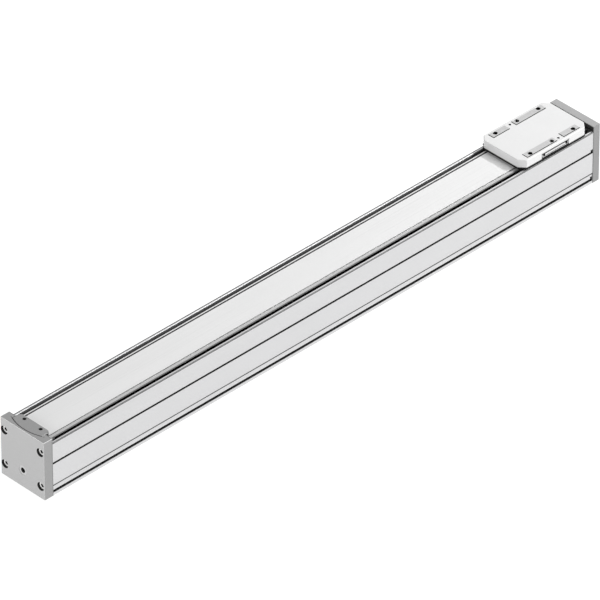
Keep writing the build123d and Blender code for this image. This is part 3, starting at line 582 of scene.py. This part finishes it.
def slide_body_finish(colours):
    finish = Finish(colours, "Milled slide body", 0.42, 0.35)
    lines = finish.grain((70.0, 2200.0, 70.0), 3.0, 0.96, 1.03)
    cloud = finish.grain((60.0, 60.0, 60.0), 2.0, 0.97, 1.02)
    finish.colour = finish.tint(colours.slide_metal, lines["Value"], cloud["Value"])
    # Painted shade on the walls round the pads, and dowel holes with a painted highlight on
    # their near half and painted shade on their far one
    below = finish.band(UP, 0.0, PAD_TOP - 0.0003, 0.00015)
    dowels = finish.bore(0.0026, PLAN, 0.00004, centre=(0, 0.024, 0), mirror=ACROSS,
                         shift=SLIDE_MIDDLE)
    skirt = finish.band(UP, TABLE_TOP - 0.001, PAD_TOP - 0.00015, 0.00005)
    finish.darken(finish.less(skirt, dowels), 0.85)
    dowels = finish.times(dowels, below)
    finish.lighten(0.9, dowels)
    far_half = finish.band(ALONG, SLIDE_X + 0.0008, 1.0, 0.0004)
    unlit = [finish.times(dowels, far_half)]
    # White lugs in the cover's side windows, with painted shade on their top and in a line
    # between two holes
    lug = finish.outside(finish.bore(0.02875, ACROSS, 0.00005))
    finish.cover(rgba(colours.slide_white), lug)
    finish.darken(lug, finish.band(UP, 0.0681, 0.0700), 0.95)
    between = finish.bore(0.0135, ALONG, 0.0005, shift=SLIDE_MIDDLE)
    finish.darken(lug, finish.band(UP, 0.0656, 0.0661), between, 0.95)
    # Painted shade in the lugs' holes, the bolt holes and the grease holes
    for side in (-1, 1):
        holes = finish.bore(0.0015, (1, 0, 1), 0.00004, centre=(LUG_HOLE_X, 0, 0.0669),
                            mirror=ALONG, shift=(SLIDE_X - side * 0.0005, 0.0, 0.0))
        unlit.append(finish.times(holes, finish.band((0, side, 0), 0.0, 0.1)))
    bolts = finish.bore(0.0029, PLAN, 0.00004, centre=(0.030, 0.024, 0), mirror=PLAN,
                        shift=SLIDE_MIDDLE)
    unlit.append(finish.times(bolts, below))
    unlit += [finish.bore(0.0016, PLAN, shift=place) for place in GREASE_HOLES]
    finish.darken(finish.most(*unlit))
    return finish.complete(lines, rough=(0.36, 0.5), relief=(0.00001, 0.3))


def slide_cover_finish(colours):
    finish = Finish(colours, "White moulded plastic", 0.42)
    fine = finish.grain((2600.0, 2600.0, 2600.0), 2.0, 0.985, 1.01)
    cloud = finish.grain((35.0, 35.0, 35.0), 2.0, 0.985, 1.01)
    finish.colour = finish.tint(colours.slide_white, fine["Value"], cloud["Value"])
    # Painted shade on the top face
    top = finish.band(UP, COVER_TOP - 0.0001, 1.0, 0.0005)
    finish.darken(top, 0.17)
    finish.lighten(0.8, finish.wear((SLIDE_X, 0, 0.0691), (0.0464, 0.030, 0.0046), 0.0008, 0.45),
                   0.25)
    # Painted shade in the grease holes
    holes = [finish.bore(0.00143, PLAN, SHARP, shift=place) for place in GREASE_HOLES]
    finish.darken(finish.most(*holes), finish.band(UP, 0.0, COVER_TOP - 0.0003))
    # Painted shade on the walls of the windows round the pads, and a thin painted shadow line
    # along two edges of each
    line = 0.00013
    for side in (-1, 1):
        for middle, half in ((-0.01585, 0.02085), (0.02535, 0.01135)):
            place = (SLIDE_X - side * middle - line, side * 0.0234 - line, 0)
            finish.darken(finish.bore(half + line, ALONG, SHARP, centre=place),
                          finish.bore(0.00385 + line, ACROSS, SHARP, centre=place), 0.92)
    # Painted shadow line over each side window and at one end of it
    shade_line_top = 0.0708
    shade_lines = [finish.times(finish.band(UP, 0.0698, shade_line_top),
                         finish.bore(0.0190, ALONG, shift=SLIDE_MIDDLE))]
    for side in (-1, 1):
        end = finish.bore(0.0005, ALONG, shift=(SLIDE_X + side * 0.0190, 0, 0))
        shade_lines.append(finish.times(end, finish.band((0, side, 0), 0.0, 1.0),
                                 finish.band(UP, 0.0, shade_line_top)))
    outer = finish.outside(finish.bore(COVER_SIDE, ACROSS))
    finish.darken(finish.most(*shade_lines), outer, 0.95)
    # Painted shade on the lowest part of the cover
    bottom = finish.band(UP, 0.0, 0.0650, 0.0002)
    finish.darken(bottom, 0.88)
    return finish.complete(fine, rough=(0.38, 0.48), relief=(0.00002, 0.35))


def plain_finish(colours, name, colour, grain, roughness, metallic=0.0, rough=None, relief=None):
    """A finish of one colour and one grain"""
    finish = Finish(colours, name, roughness, metallic)
    spots = finish.grain(*grain)
    finish.colour = finish.tint(colour, spots["Value"])
    return finish.complete(spots, rough, relief)


def ground_steel_finish(colours, name, scale):
    finish = Finish(colours, name, 0.28, 0.85)
    lines = finish.grain(scale, 4.0, 0.93, 1.05)
    cloud = finish.grain((30.0, 30.0, 30.0), 2.0, 0.96, 1.02)
    finish.colour = finish.tint(colours.steel, lines["Value"], cloud["Value"])
    return finish.complete(lines, rough=(0.22, 0.36), relief=(0.00001, 0.3))


def oiled_steel_finish(colours):
    """Ball screw: dark oil film in the groove and on the lands, bare at the drive stub"""
    finish = Finish(colours, "Oiled ball screw steel", 0.45, 0.5)
    lines = finish.grain((1900.0, 160.0, 160.0), 4.0, 0.85, 1.1)
    finish.colour = finish.tint((0.05, 0.048, 0.045), lines["Value"])
    stub = finish.band(ALONG, 0.372, 1.0, 0.002)
    finish.cover(finish.tint(colours.steel, lines["Value"]), stub)
    return finish.complete(lines, relief=(0.00001, 0.3))


def rubber_finish(colours, name, low, high, sheen):
    finish = Finish(colours, name, 0.7)
    finish.shader.inputs["Specular IOR Level"].default_value = sheen
    fine = finish.grain((1800.0, 1800.0, 1800.0), 3.0, low, high)
    finish.colour = finish.tint(colours.rubber, fine["Value"])
    return finish.complete(fine, rough=(0.6, 0.82), relief=(0.00004, 0.4))


def floor_finish(colours):
    """Pale floor that glows evenly and can't be seen from below"""
    finish = Finish(colours, "Studio floor", 0.9)
    cloud = finish.grain((1.5, 1.5, 1.5), 2.0, 0.99, 1.01)
    finish.colour = finish.tint((0.16, 0.16, 0.16), cloud["Value"])
    tree, shader = finish.tree, finish.shader
    shader.inputs["Specular IOR Level"].default_value = 0.0
    shader.inputs["Emission Color"].default_value = (1, 1, 1, 1)
    shader.inputs["Emission Strength"].default_value = 0.93
    clear = add(tree, "ShaderNodeBsdfTransparent")
    sides = add(tree, "ShaderNodeMixShader", {
        0: add(tree, "ShaderNodeNewGeometry").outputs["Backfacing"],
        1: shader.outputs["BSDF"],
        2: clear.outputs["BSDF"],
    })
    tree.links.new(sides.outputs[0], tree.nodes["Material Output"].inputs["Surface"])
    return finish.complete()


# Modelling

def leave_edit():
    """Back to object mode with nothing selected"""
    if bpy.context.object is not None and bpy.context.object.mode != "OBJECT":
        bpy.ops.object.mode_set(mode="OBJECT")
    bpy.ops.object.select_all(action="DESELECT")


def take(piece):
    """Selects one piece alone and makes it the active one"""
    leave_edit()
    piece.select_set(True)
    bpy.context.view_layer.objects.active = piece


def enter_edit(piece):
    take(piece)
    bpy.ops.object.mode_set(mode="EDIT")
    bpy.ops.mesh.select_mode(type="FACE")


def select_whole():
    bpy.ops.mesh.select_all(action="SELECT")


def join(pieces):
    """Makes one piece of several, named as the first"""
    take(pieces[0])
    for piece in pieces:
        piece.select_set(True)
    if len(pieces) > 1:
        bpy.ops.object.join()
    return bpy.context.object


def apply_place():
    """Puts the place, turn and scale of the selected piece into its mesh"""
    bpy.ops.object.transform_apply(location=True, rotation=True, scale=True)


def pick(piece, kind, test):
    """Selects the vertices, edges or faces of the piece in edit mode that pass the test"""
    bpy.ops.mesh.select_mode(type={"verts": "VERT", "edges": "EDGE", "faces": "FACE"}[kind])
    bpy.ops.mesh.select_all(action="DESELECT")
    shape = bmesh.from_edit_mesh(piece.data)
    found = [element for element in getattr(shape, kind) if test(element)]
    if not found:
        raise RuntimeError(f"nothing to select on {piece.name}")
    for element in found:
        element.select_set(True)
    shape.select_flush_mode()
    bmesh.update_edit_mesh(piece.data)


def distance_from_axis(point):
    return math.hypot(point.x, point.y)


def model_socket_screw(name, size, sizes, finishes):
    """One socket head screw along Z, its seat at the origin and its head upwards"""
    head_radius, head_height, socket_radius, socket_depth, shank_radius, length = size
    facets = 60
    leave_edit()
    bpy.ops.mesh.primitive_cylinder_add(
        vertices=facets, radius=head_radius, depth=head_height,
        location=(0, 0, head_height / 2))
    screw = bpy.context.object
    screw.name = name
    apply_place()
    enter_edit(screw)
    # Shank: the lower end is drawn in to the shank's radius and pulled down
    pick(screw, "faces", lambda face: face.normal.z < -0.9)
    bpy.ops.mesh.inset(thickness=head_radius - shank_radius, depth=0)
    bpy.ops.mesh.extrude_region_move(TRANSFORM_OT_translate={"value": (0, 0, -length)})
    pick(screw, "edges", lambda edge: all(abs(v.co.z + length) < TOUCH for v in edge.verts))
    bpy.ops.mesh.bevel(offset=shank_radius * sizes.tip_chamfer, segments=1)
    # Flutes: every second edge of the head's middle band goes in
    round_off = head_radius * sizes.head_round
    levels = [round_off * 0.9, round_off * 1.3, head_height - round_off * 2.4,
              head_height - round_off * 2.0]
    for level in levels:
        select_whole()
        bpy.ops.mesh.bisect(plane_co=(0, 0, level), plane_no=(0, 0, 1))
    step = 2 * math.pi / facets
    rim = head_radius * 0.98

    def in_flute(vertex):
        turn = round(math.atan2(vertex.co.y, vertex.co.x) / step)
        return (turn % 2 == 0 and levels[0] + TOUCH < vertex.co.z < levels[3] - TOUCH
                and distance_from_axis(vertex.co) > rim)

    pick(screw, "verts", in_flute)
    inward = 1 - sizes.flute_depth
    bpy.ops.transform.resize(value=(inward, inward, 1), center_override=(0, 0, 0))
    # Rounded rim
    pick(screw, "edges", lambda edge: all(
        abs(v.co.z - head_height) < TOUCH and distance_from_axis(v.co) > rim
        for v in edge.verts))
    bpy.ops.mesh.bevel(offset=round_off, segments=3)
    leave_edit()
    # Hexagonal socket
    bpy.ops.mesh.primitive_cylinder_add(
        vertices=6, radius=socket_radius, depth=2 * socket_depth,
        location=(0, 0, head_height))
    socket = bpy.context.object
    leave_edit()
    bpy.context.view_layer.objects.active = screw
    cut = screw.modifiers.new("Socket", "BOOLEAN")
    cut.operation = "DIFFERENCE"
    cut.solver = "EXACT"
    cut.object = socket
    bpy.ops.object.modifier_apply(modifier=cut.name)
    bpy.data.objects.remove(socket)
    screw.data.materials.clear()
    for finish in finishes:
        screw.data.materials.append(finish)
    points = screw.data.vertices
    for face in screw.data.polygons:
        inner = all(distance_from_axis(points[index].co) < socket_radius * 1.01
                    for index in face.vertices)
        in_socket = inner and face.center.z > head_height - socket_depth - TOUCH
        face.material_index = 1 if in_socket else 0
    screw.select_set(True)
    bpy.ops.object.shade_smooth_by_angle(angle=math.radians(35))
    return screw


def place_screws(screw, name, turn, points, node, body):
    """Copies the screw to its places, turns it to its seat and makes one piece of them"""
    copies = []
    for point in points:
        take(screw)
        bpy.ops.object.duplicate(linked=False)
        copy = bpy.context.object
        copy.rotation_euler = turn
        copy.location = point
        copies.append(copy)
    piece = join(copies)
    piece.name = name
    piece.data.name = name
    apply_place()
    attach(piece, body)
    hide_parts(node)


# Turns that point a screw's head
UPWARD = (0.0, 0.0, 0.0)
TO_DRIVE_END = (0.0, math.pi / 2, 0.0)
TO_NEAR_END = (0.0, -math.pi / 2, 0.0)

# Head radius, head height, socket radius, socket depth and shank radius
M5_SIZE = (4.25 * MM, 5.0 * MM, 2.3 * MM, 2.5 * MM, 2.5 * MM)
M4_SIZE = (3.5 * MM, 4.0 * MM, 1.7 * MM, 2.0 * MM, 2.0 * MM)
M3_SIZE = (2.75 * MM, 3.0 * MM, 1.4 * MM, 1.5 * MM, 1.5 * MM)
M2_SIZE = (1.9 * MM, 2.0 * MM, 0.85 * MM, 1.0 * MM, 1.0 * MM)


class AXIS_OT_make_profile(bpy.types.Operator):
    """Gives the extruded profile its drawn, anodised skin"""
    bl_idname = "axis.make_profile"
    bl_label = "Profile"

    def execute(self, context):
        set_finish(profile_finish(context.scene.axis_finishes), "profile_barrel")
        return {"FINISHED"}


class AXIS_OT_make_caps(bpy.types.Operator):
    """Finishes both end caps and the strip clamps"""
    bl_idname = "axis.make_caps"
    bl_label = "End caps and clamps"

    def execute(self, context):
        colours = context.scene.axis_finishes
        # Side, height and radius of the bores in each cap
        screws = [(CAP_SCREW_SIDE, height, 0.0047) for height in CAP_SCREW_HEIGHTS]
        port = [(0.0, AIR_PORT_HEIGHT, 0.0029)]
        motor = [(MOTOR_BOLT, SHAFT_HEIGHT + rise * MOTOR_BOLT, 0.0017) for rise in (-1, 1)]
        clamp = [(FAR_CLAMP_SCREW_SIDE, FAR_CLAMP_SCREW_HEIGHT, 0.00215)]
        # Each cap's colour is made lighter or darker as painted light, and its flanks take
        # painted shade
        near = cap_finish(colours, "Near cap metal", NEAR_FACE, PROFILE_START,
                          screws + port, painted_light_tone=0.955, flank_shade=0.01)
        far = cap_finish(colours, "Far cap metal", FAR_FACE, PROFILE_END,
                         screws + motor + clamp, painted_light_tone=1.03, flank_shade=0.18)
        set_finish(near, "near_end_cap")
        set_finish(far, "far_end_cap")
        set_finish(clamp_finish(colours), "near_strip_clamp", "far_strip_clamp")
        return {"FINISHED"}


class AXIS_OT_make_strip(bpy.types.Operator):
    """Gives the cover strip its rolled steel"""
    bl_idname = "axis.make_strip"
    bl_label = "Cover strip"

    def execute(self, context):
        set_finish(strip_finish(context.scene.axis_finishes), "cover_strip")
        return {"FINISHED"}


class AXIS_OT_make_slide(bpy.types.Operator):
    """Finishes the slide body and its white cover"""
    bl_idname = "axis.make_slide"
    bl_label = "Slide"

    def execute(self, context):
        colours = context.scene.axis_finishes
        set_finish(slide_body_finish(colours), "slide_body")
        set_finish(slide_cover_finish(colours), "slide_cover")
        return {"FINISHED"}


class AXIS_OT_make_rubber(bpy.types.Operator):
    """Finishes the wipers, the side seals and the buffers"""
    bl_idname = "axis.make_rubber"
    bl_label = "Wipers, seals and buffers"

    def execute(self, context):
        colours = context.scene.axis_finishes
        wiper = rubber_finish(colours, "Wiper rubber", 0.3, 0.5, 0.15)
        buffer = rubber_finish(colours, "Buffer rubber", 1.2, 2.0, 0.5)
        set_finish(wiper, "near_wiper", "far_wiper", "side_seals")
        set_finish(buffer, "near_buffer", "far_buffer")
        return {"FINISHED"}


class AXIS_OT_make_guide(bpy.types.Operator):
    """Finishes the guide rail and its two carriages"""
    bl_idname = "axis.make_guide"
    bl_label = "Guide"

    def execute(self, context):
        colours = context.scene.axis_finishes
        lengthwise = ground_steel_finish(colours, "Ground guide steel", (4.0, 2600.0, 2600.0))
        plastic = plain_finish(colours, "Carriage end plastic", (0.05, 0.055, 0.06),
                               ((1600.0, 1600.0, 1600.0), 2.0, 0.9, 1.1), 0.5,
                               relief=(0.00002, 0.3))
        set_finish(lengthwise, "guide_rail", "near_guide_carriage", "far_guide_carriage")
        set_finish(plastic, "near_carriage_end_caps", "far_carriage_end_caps")
        return {"FINISHED"}


class AXIS_OT_make_bearings(bpy.types.Operator):
    """Finishes the bearing rings, the retaining ring, the lock nut and the ball nut"""
    bl_idname = "axis.make_bearings"
    bl_label = "Bearings and nuts"

    def execute(self, context):
        colours = context.scene.axis_finishes
        turned = ground_steel_finish(colours, "Turned steel", (2600.0, 260.0, 260.0))
        rings = [f"{place}_bearing_{side}_ring" for place in ("floating", "inboard", "outboard")
                 for side in ("outer", "inner")]
        set_finish(turned, *rings, "bearing_retaining_ring", "lock_nut", "shaft_circlip",
                   "ball_nut")
        return {"FINISHED"}


class AXIS_OT_make_ball_screw(bpy.types.Operator):
    """Models the ball screw with its helical ball groove, journals and drive stub"""
    bl_idname = "axis.make_ball_screw"
    bl_label = "Ball screw"

    def execute(self, context):
        sizes = context.scene.axis_ball_screw
        lo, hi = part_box("ball_screw")
        radius, journal = 0.006, 0.004
        start, end = -0.3535, 0.3575
        # One lead of the screw's outline, drawn from a strip of which one edge is kept
        leave_edit()
        bpy.ops.mesh.primitive_grid_add(x_subdivisions=12, y_subdivisions=1, size=sizes.lead,
                                        location=(start, 0, SHAFT_HEIGHT))
        screw = bpy.context.object
        screw.name = "grooved_ball_screw"
        enter_edit(screw)
        pick(screw, "verts", lambda vertex: vertex.co.y < 0)
        bpy.ops.mesh.delete(type="VERT")
        select_whole()
        outline = bmesh.from_edit_mesh(screw.data)
        half = sizes.groove_width / 2
        for vertex in outline.verts:
            dip = max(0.0, 1 - (vertex.co.x / half) ** 2) ** 0.5 * sizes.groove_depth
            vertex.co.y = 0
            vertex.co.z = radius - dip
        bmesh.update_edit_mesh(screw.data)
        leave_edit()
        bpy.context.view_layer.objects.active = screw
        turns = math.ceil((end - start) / sizes.lead) + 1
        sweep = screw.modifiers.new("Groove", "SCREW")
        sweep.axis = "X"
        sweep.angle = 2 * math.pi
        sweep.screw_offset = sizes.lead
        sweep.iterations = turns
        sweep.steps = 24
        sweep.render_steps = 24
        bpy.ops.object.modifier_apply(modifier=sweep.name)
        enter_edit(screw)
        select_whole()
        bpy.ops.mesh.remove_doubles(threshold=0.00002)
        for place, way in ((start + 0.00001, -1), (end - 0.00001, 1)):
            select_whole()
            bpy.ops.mesh.bisect(plane_co=(place, 0, SHAFT_HEIGHT), plane_no=(way, 0, 0),
                                use_fill=True, clear_outer=True)
        select_whole()
        bpy.ops.mesh.normals_make_consistent(inside=False)
        leave_edit()
        # Floating end with its circlip groove, and fixed end with the drive stub
        low, high, step = -0.3603, -0.3595, 0.00002
        near = self.journal(lo.x, start, journal)
        self.turn_down(near, (low - step, low, high, high + step), low, high, 0.0037 / journal)
        stub, stub_radius = 0.3735, 0.0035
        far = self.journal(end, hi.x, journal)
        self.turn_down(far, (stub - step, stub), stub, hi.x, stub_radius / journal)
        self.drive_end(far, hi.x, stub_radius)
        join((screw, near, far))
        apply_place()
        bpy.ops.object.shade_smooth_by_angle(angle=math.radians(40))
        screw.data.materials.clear()
        screw.data.materials.append(oiled_steel_finish(context.scene.axis_finishes))
        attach(screw, "screw")
        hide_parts("ball_screw")
        return {"FINISHED"}

    def journal(self, low, high, radius):
        """Plain round bar between two places on the shaft's line"""
        leave_edit()
        bpy.ops.mesh.primitive_cylinder_add(
            vertices=48, radius=radius, depth=high - low, rotation=(0, math.pi / 2, 0),
            location=((low + high) / 2, 0, SHAFT_HEIGHT))
        part = bpy.context.object
        apply_place()
        leave_edit()
        return part

    def turn_down(self, part, cuts, low, high, share):
        """Takes the part between two places down to a share of its radius"""
        enter_edit(part)
        for place in cuts:
            select_whole()
            bpy.ops.mesh.bisect(plane_co=(place, 0, SHAFT_HEIGHT), plane_no=(1, 0, 0))
        pick(part, "verts", lambda vertex: low - TOUCH < vertex.co.x < high + TOUCH)
        bpy.ops.transform.resize(value=(1, share, share), center_override=(0, 0, SHAFT_HEIGHT))
        leave_edit()

    def drive_end(self, part, reach, radius):
        """Chamfered rim and a centre hole in the end of the drive stub"""
        enter_edit(part)
        pick(part, "edges", lambda edge: all(abs(v.co.x - reach) < TOUCH for v in edge.verts))
        chamfer, hole_radius = 0.0005, 0.0016
        bpy.ops.mesh.bevel(offset=chamfer, segments=1)
        pick(part, "faces", lambda face: face.normal.x > 0.99)
        bpy.ops.mesh.inset(thickness=radius - chamfer - hole_radius, depth=0)
        bpy.ops.mesh.extrude_region_move(TRANSFORM_OT_translate={"value": (-0.0012, 0, 0)})
        bpy.ops.transform.resize(value=(1, 0.45, 0.45))
        bpy.ops.mesh.extrude_region_move(TRANSFORM_OT_translate={"value": (-0.0022, 0, 0)})
        leave_edit()


class AXIS_OT_make_screws(bpy.types.Operator):
    """Models the socket head screws of all sizes and puts them in their places"""
    bl_idname = "axis.make_screws"
    bl_label = "Socket head screws"

    def execute(self, context):
        colours = context.scene.axis_finishes
        sizes = context.scene.axis_screws
        plated = plain_finish(colours, "Plated screw steel", colours.screw,
                              ((700.0, 700.0, 700.0), 4.0, 0.86, 1.06), 0.3,
                              rough=(0.24, 0.42))
        # Painted shade for the sockets
        socket = plain_finish(colours, "Screw socket", colours.shade,
                              ((900.0, 900.0, 900.0), 3.0, 0.6, 1.3), 0.6, 0.2)
        cap_places = [(side * CAP_SCREW_SIDE, height) for side in (-1, 1)
                      for height in CAP_SCREW_HEIGHTS]
        nut_places = [(side * 0.01405, SHAFT_HEIGHT + rise * 0.00655)
                      for side in (-1, 1) for rise in (-1, 1)]
        carriage_places = [(SLIDE_X + along * 0.017 + step * 0.005, side * 0.016, 0.030)
                           for along in (-1, 1) for step in (-1, 1) for side in (-1, 1)]
        groups = (
            ("cap_screws_near", "near_cap_screws", "axis_body", M5_SIZE, 0.020, TO_NEAR_END,
             [(-0.3676, y, z) for y, z in cap_places]),
            ("cap_screws_far", "far_cap_screws", "axis_body", M5_SIZE, 0.020, TO_DRIVE_END,
             [(0.3696, y, z) for y, z in cap_places]),
            ("clamp_screws_near", "near_clamp_screws", "axis_body", M2_SIZE, 0.008, UPWARD,
             [(-0.3612, side * 0.0112, 0.0641) for side in (-1, 1)]),
            ("clamp_screws_far", "far_clamp_screws", "axis_body", M2_SIZE, 0.0046,
             TO_DRIVE_END, [(0.3728, side * FAR_CLAMP_SCREW_SIDE, FAR_CLAMP_SCREW_HEIGHT)
                            for side in (-1, 1)]),
            ("rail_screws", "guide_rail_screws", "axis_body", M3_SIZE, 0.0104, UPWARD,
             [(-0.329 + index * 0.060, 0, 0.0131) for index in range(12)]),
            ("slide_carriage_screws", "carriage_screws", "slide", M3_SIZE, 0.010, UPWARD,
             carriage_places),
            ("nut_flange_screws", "ball_nut_screws", "slide", M4_SIZE, 0.009, TO_NEAR_END,
             [(0.2768, y, z) for y, z in nut_places]),
        )
        for name, node, body, size, length, turn, places in groups:
            # The clamps' small screws take the sockets' painted shade all over
            finishes = (socket, socket) if size is M2_SIZE else (plated, socket)
            screw = model_socket_screw(name + "_pattern", size + (length,), sizes, finishes)
            place_screws(screw, name, turn, places, node, body)
            bpy.data.objects.remove(screw)
        return {"FINISHED"}


class AXIS_OT_make_stage(bpy.types.Operator):
    """Sets up the floor, the light and the camera"""
    bl_idname = "axis.make_stage"
    bl_label = "Stage"

    def execute(self, context):
        stage = context.scene.axis_stage
        scene = context.scene
        leave_edit()
        bpy.ops.mesh.primitive_plane_add(size=stage.floor_size, location=(0, 0, -FLOOR_GAP))
        floor = bpy.context.object
        floor.name = "studio_floor"
        apply_place()
        floor.data.materials.append(floor_finish(scene.axis_finishes))
        leave_edit()
        world = bpy.data.worlds.new("Room")
        world.use_nodes = True
        sky = world.node_tree.nodes["Background"]
        sky.inputs["Color"].default_value = (1, 1, 1, 1)
        seen = add(world.node_tree, "ShaderNodeLightPath").outputs["Is Camera Ray"]
        world.node_tree.links.new(ramp(world.node_tree, seen, 0.0, 1.0, stage.room, 1.0),
                                  sky.inputs["Strength"])
        scene.world = world
        self.area_light("Key light", (4.1, -2.9, 4.1), (0, 0, 0.03), 0.4, stage.key_power)
        self.area_light("Fill light", (-3.0, 0.3, 0.9), (0, 0, 0.03), 1.2, stage.fill_power)
        self.area_light("Top light", (0.62, 0.12, 0.75), (0.5, 0.0, 0.06), 0.5,
                        stage.top_power)
        scene.view_settings.view_transform = "Standard"
        across, up = stage.azimuth, stage.elevation
        back = Vector((math.sin(across) * math.cos(up), -math.cos(across) * math.cos(up),
                       math.sin(up)))
        lens = bpy.data.cameras.new("Camera")
        lens.sensor_width = 36.0
        lens.lens = stage.lens
        lens.clip_start = 0.1
        lens.clip_end = 100.0
        camera = bpy.data.objects.new("Camera", lens)
        scene.collection.objects.link(camera)
        camera.location = Vector(stage.aim) + back * stage.distance
        camera.rotation_euler = back.to_track_quat("Z", "Y").to_euler()
        scene.camera = camera
        return {"FINISHED"}

    def area_light(self, name, place, aim, size, power):
        """Square light at a place, turned to what it lights and unseen by the camera"""
        lamp = bpy.data.lights.new(name, "AREA")
        lamp.shape = "SQUARE"
        lamp.size = size
        lamp.energy = power
        light = bpy.data.objects.new(name, lamp)
        bpy.context.scene.collection.objects.link(light)
        light.location = place
        light.rotation_euler = (Vector(aim) - Vector(place)).to_track_quat("-Z", "Y").to_euler()
        light.visible_camera = False


OPERATORS = (
    AXIS_OT_make_profile,
    AXIS_OT_make_caps,
    AXIS_OT_make_strip,
    AXIS_OT_make_slide,
    AXIS_OT_make_rubber,
    AXIS_OT_make_guide,
    AXIS_OT_make_bearings,
    AXIS_OT_make_ball_screw,
    AXIS_OT_make_screws,
    AXIS_OT_make_stage,
)


class AXIS_PT_sidebar(bpy.types.Panel):
    """Lists the steps that dress the axis"""
    bl_idname = "AXIS_PT_sidebar"
    bl_label = "Linear Axis"
    bl_space_type = "VIEW_3D"
    bl_region_type = "UI"
    bl_category = "Linear Axis"

    def draw(self, context):
        layout = self.layout
        for operator in OPERATORS:
            layout.operator(operator.bl_idname)
        for settings in (context.scene.axis_finishes, context.scene.axis_screws,
                         context.scene.axis_ball_screw, context.scene.axis_stage):
            box = layout.box()
            for key in settings.__annotations__:
                box.prop(settings, key)


SETTINGS = {
    "axis_finishes": AxisFinishes,
    "axis_screws": AxisScrewSizes,
    "axis_ball_screw": AxisBallScrewSizes,
    "axis_stage": AxisStage,
}


def register():
    for name, group in SETTINGS.items():
        bpy.utils.register_class(group)
        setattr(bpy.types.Scene, name, bpy.props.PointerProperty(type=group))
    for operator in OPERATORS:
        bpy.utils.register_class(operator)
    bpy.utils.register_class(AXIS_PT_sidebar)


def unregister():
    bpy.utils.unregister_class(AXIS_PT_sidebar)
    for operator in reversed(OPERATORS):
        bpy.utils.unregister_class(operator)
    for name, group in SETTINGS.items():
        delattr(bpy.types.Scene, name)
        bpy.utils.unregister_class(group)


def main():
    register()
    GROUPS.update(make_groups())
    for operator in OPERATORS:
        family, step = operator.bl_idname.split(".")
        getattr(getattr(bpy.ops, family), step)()


if __name__ == "__main__":
    main()
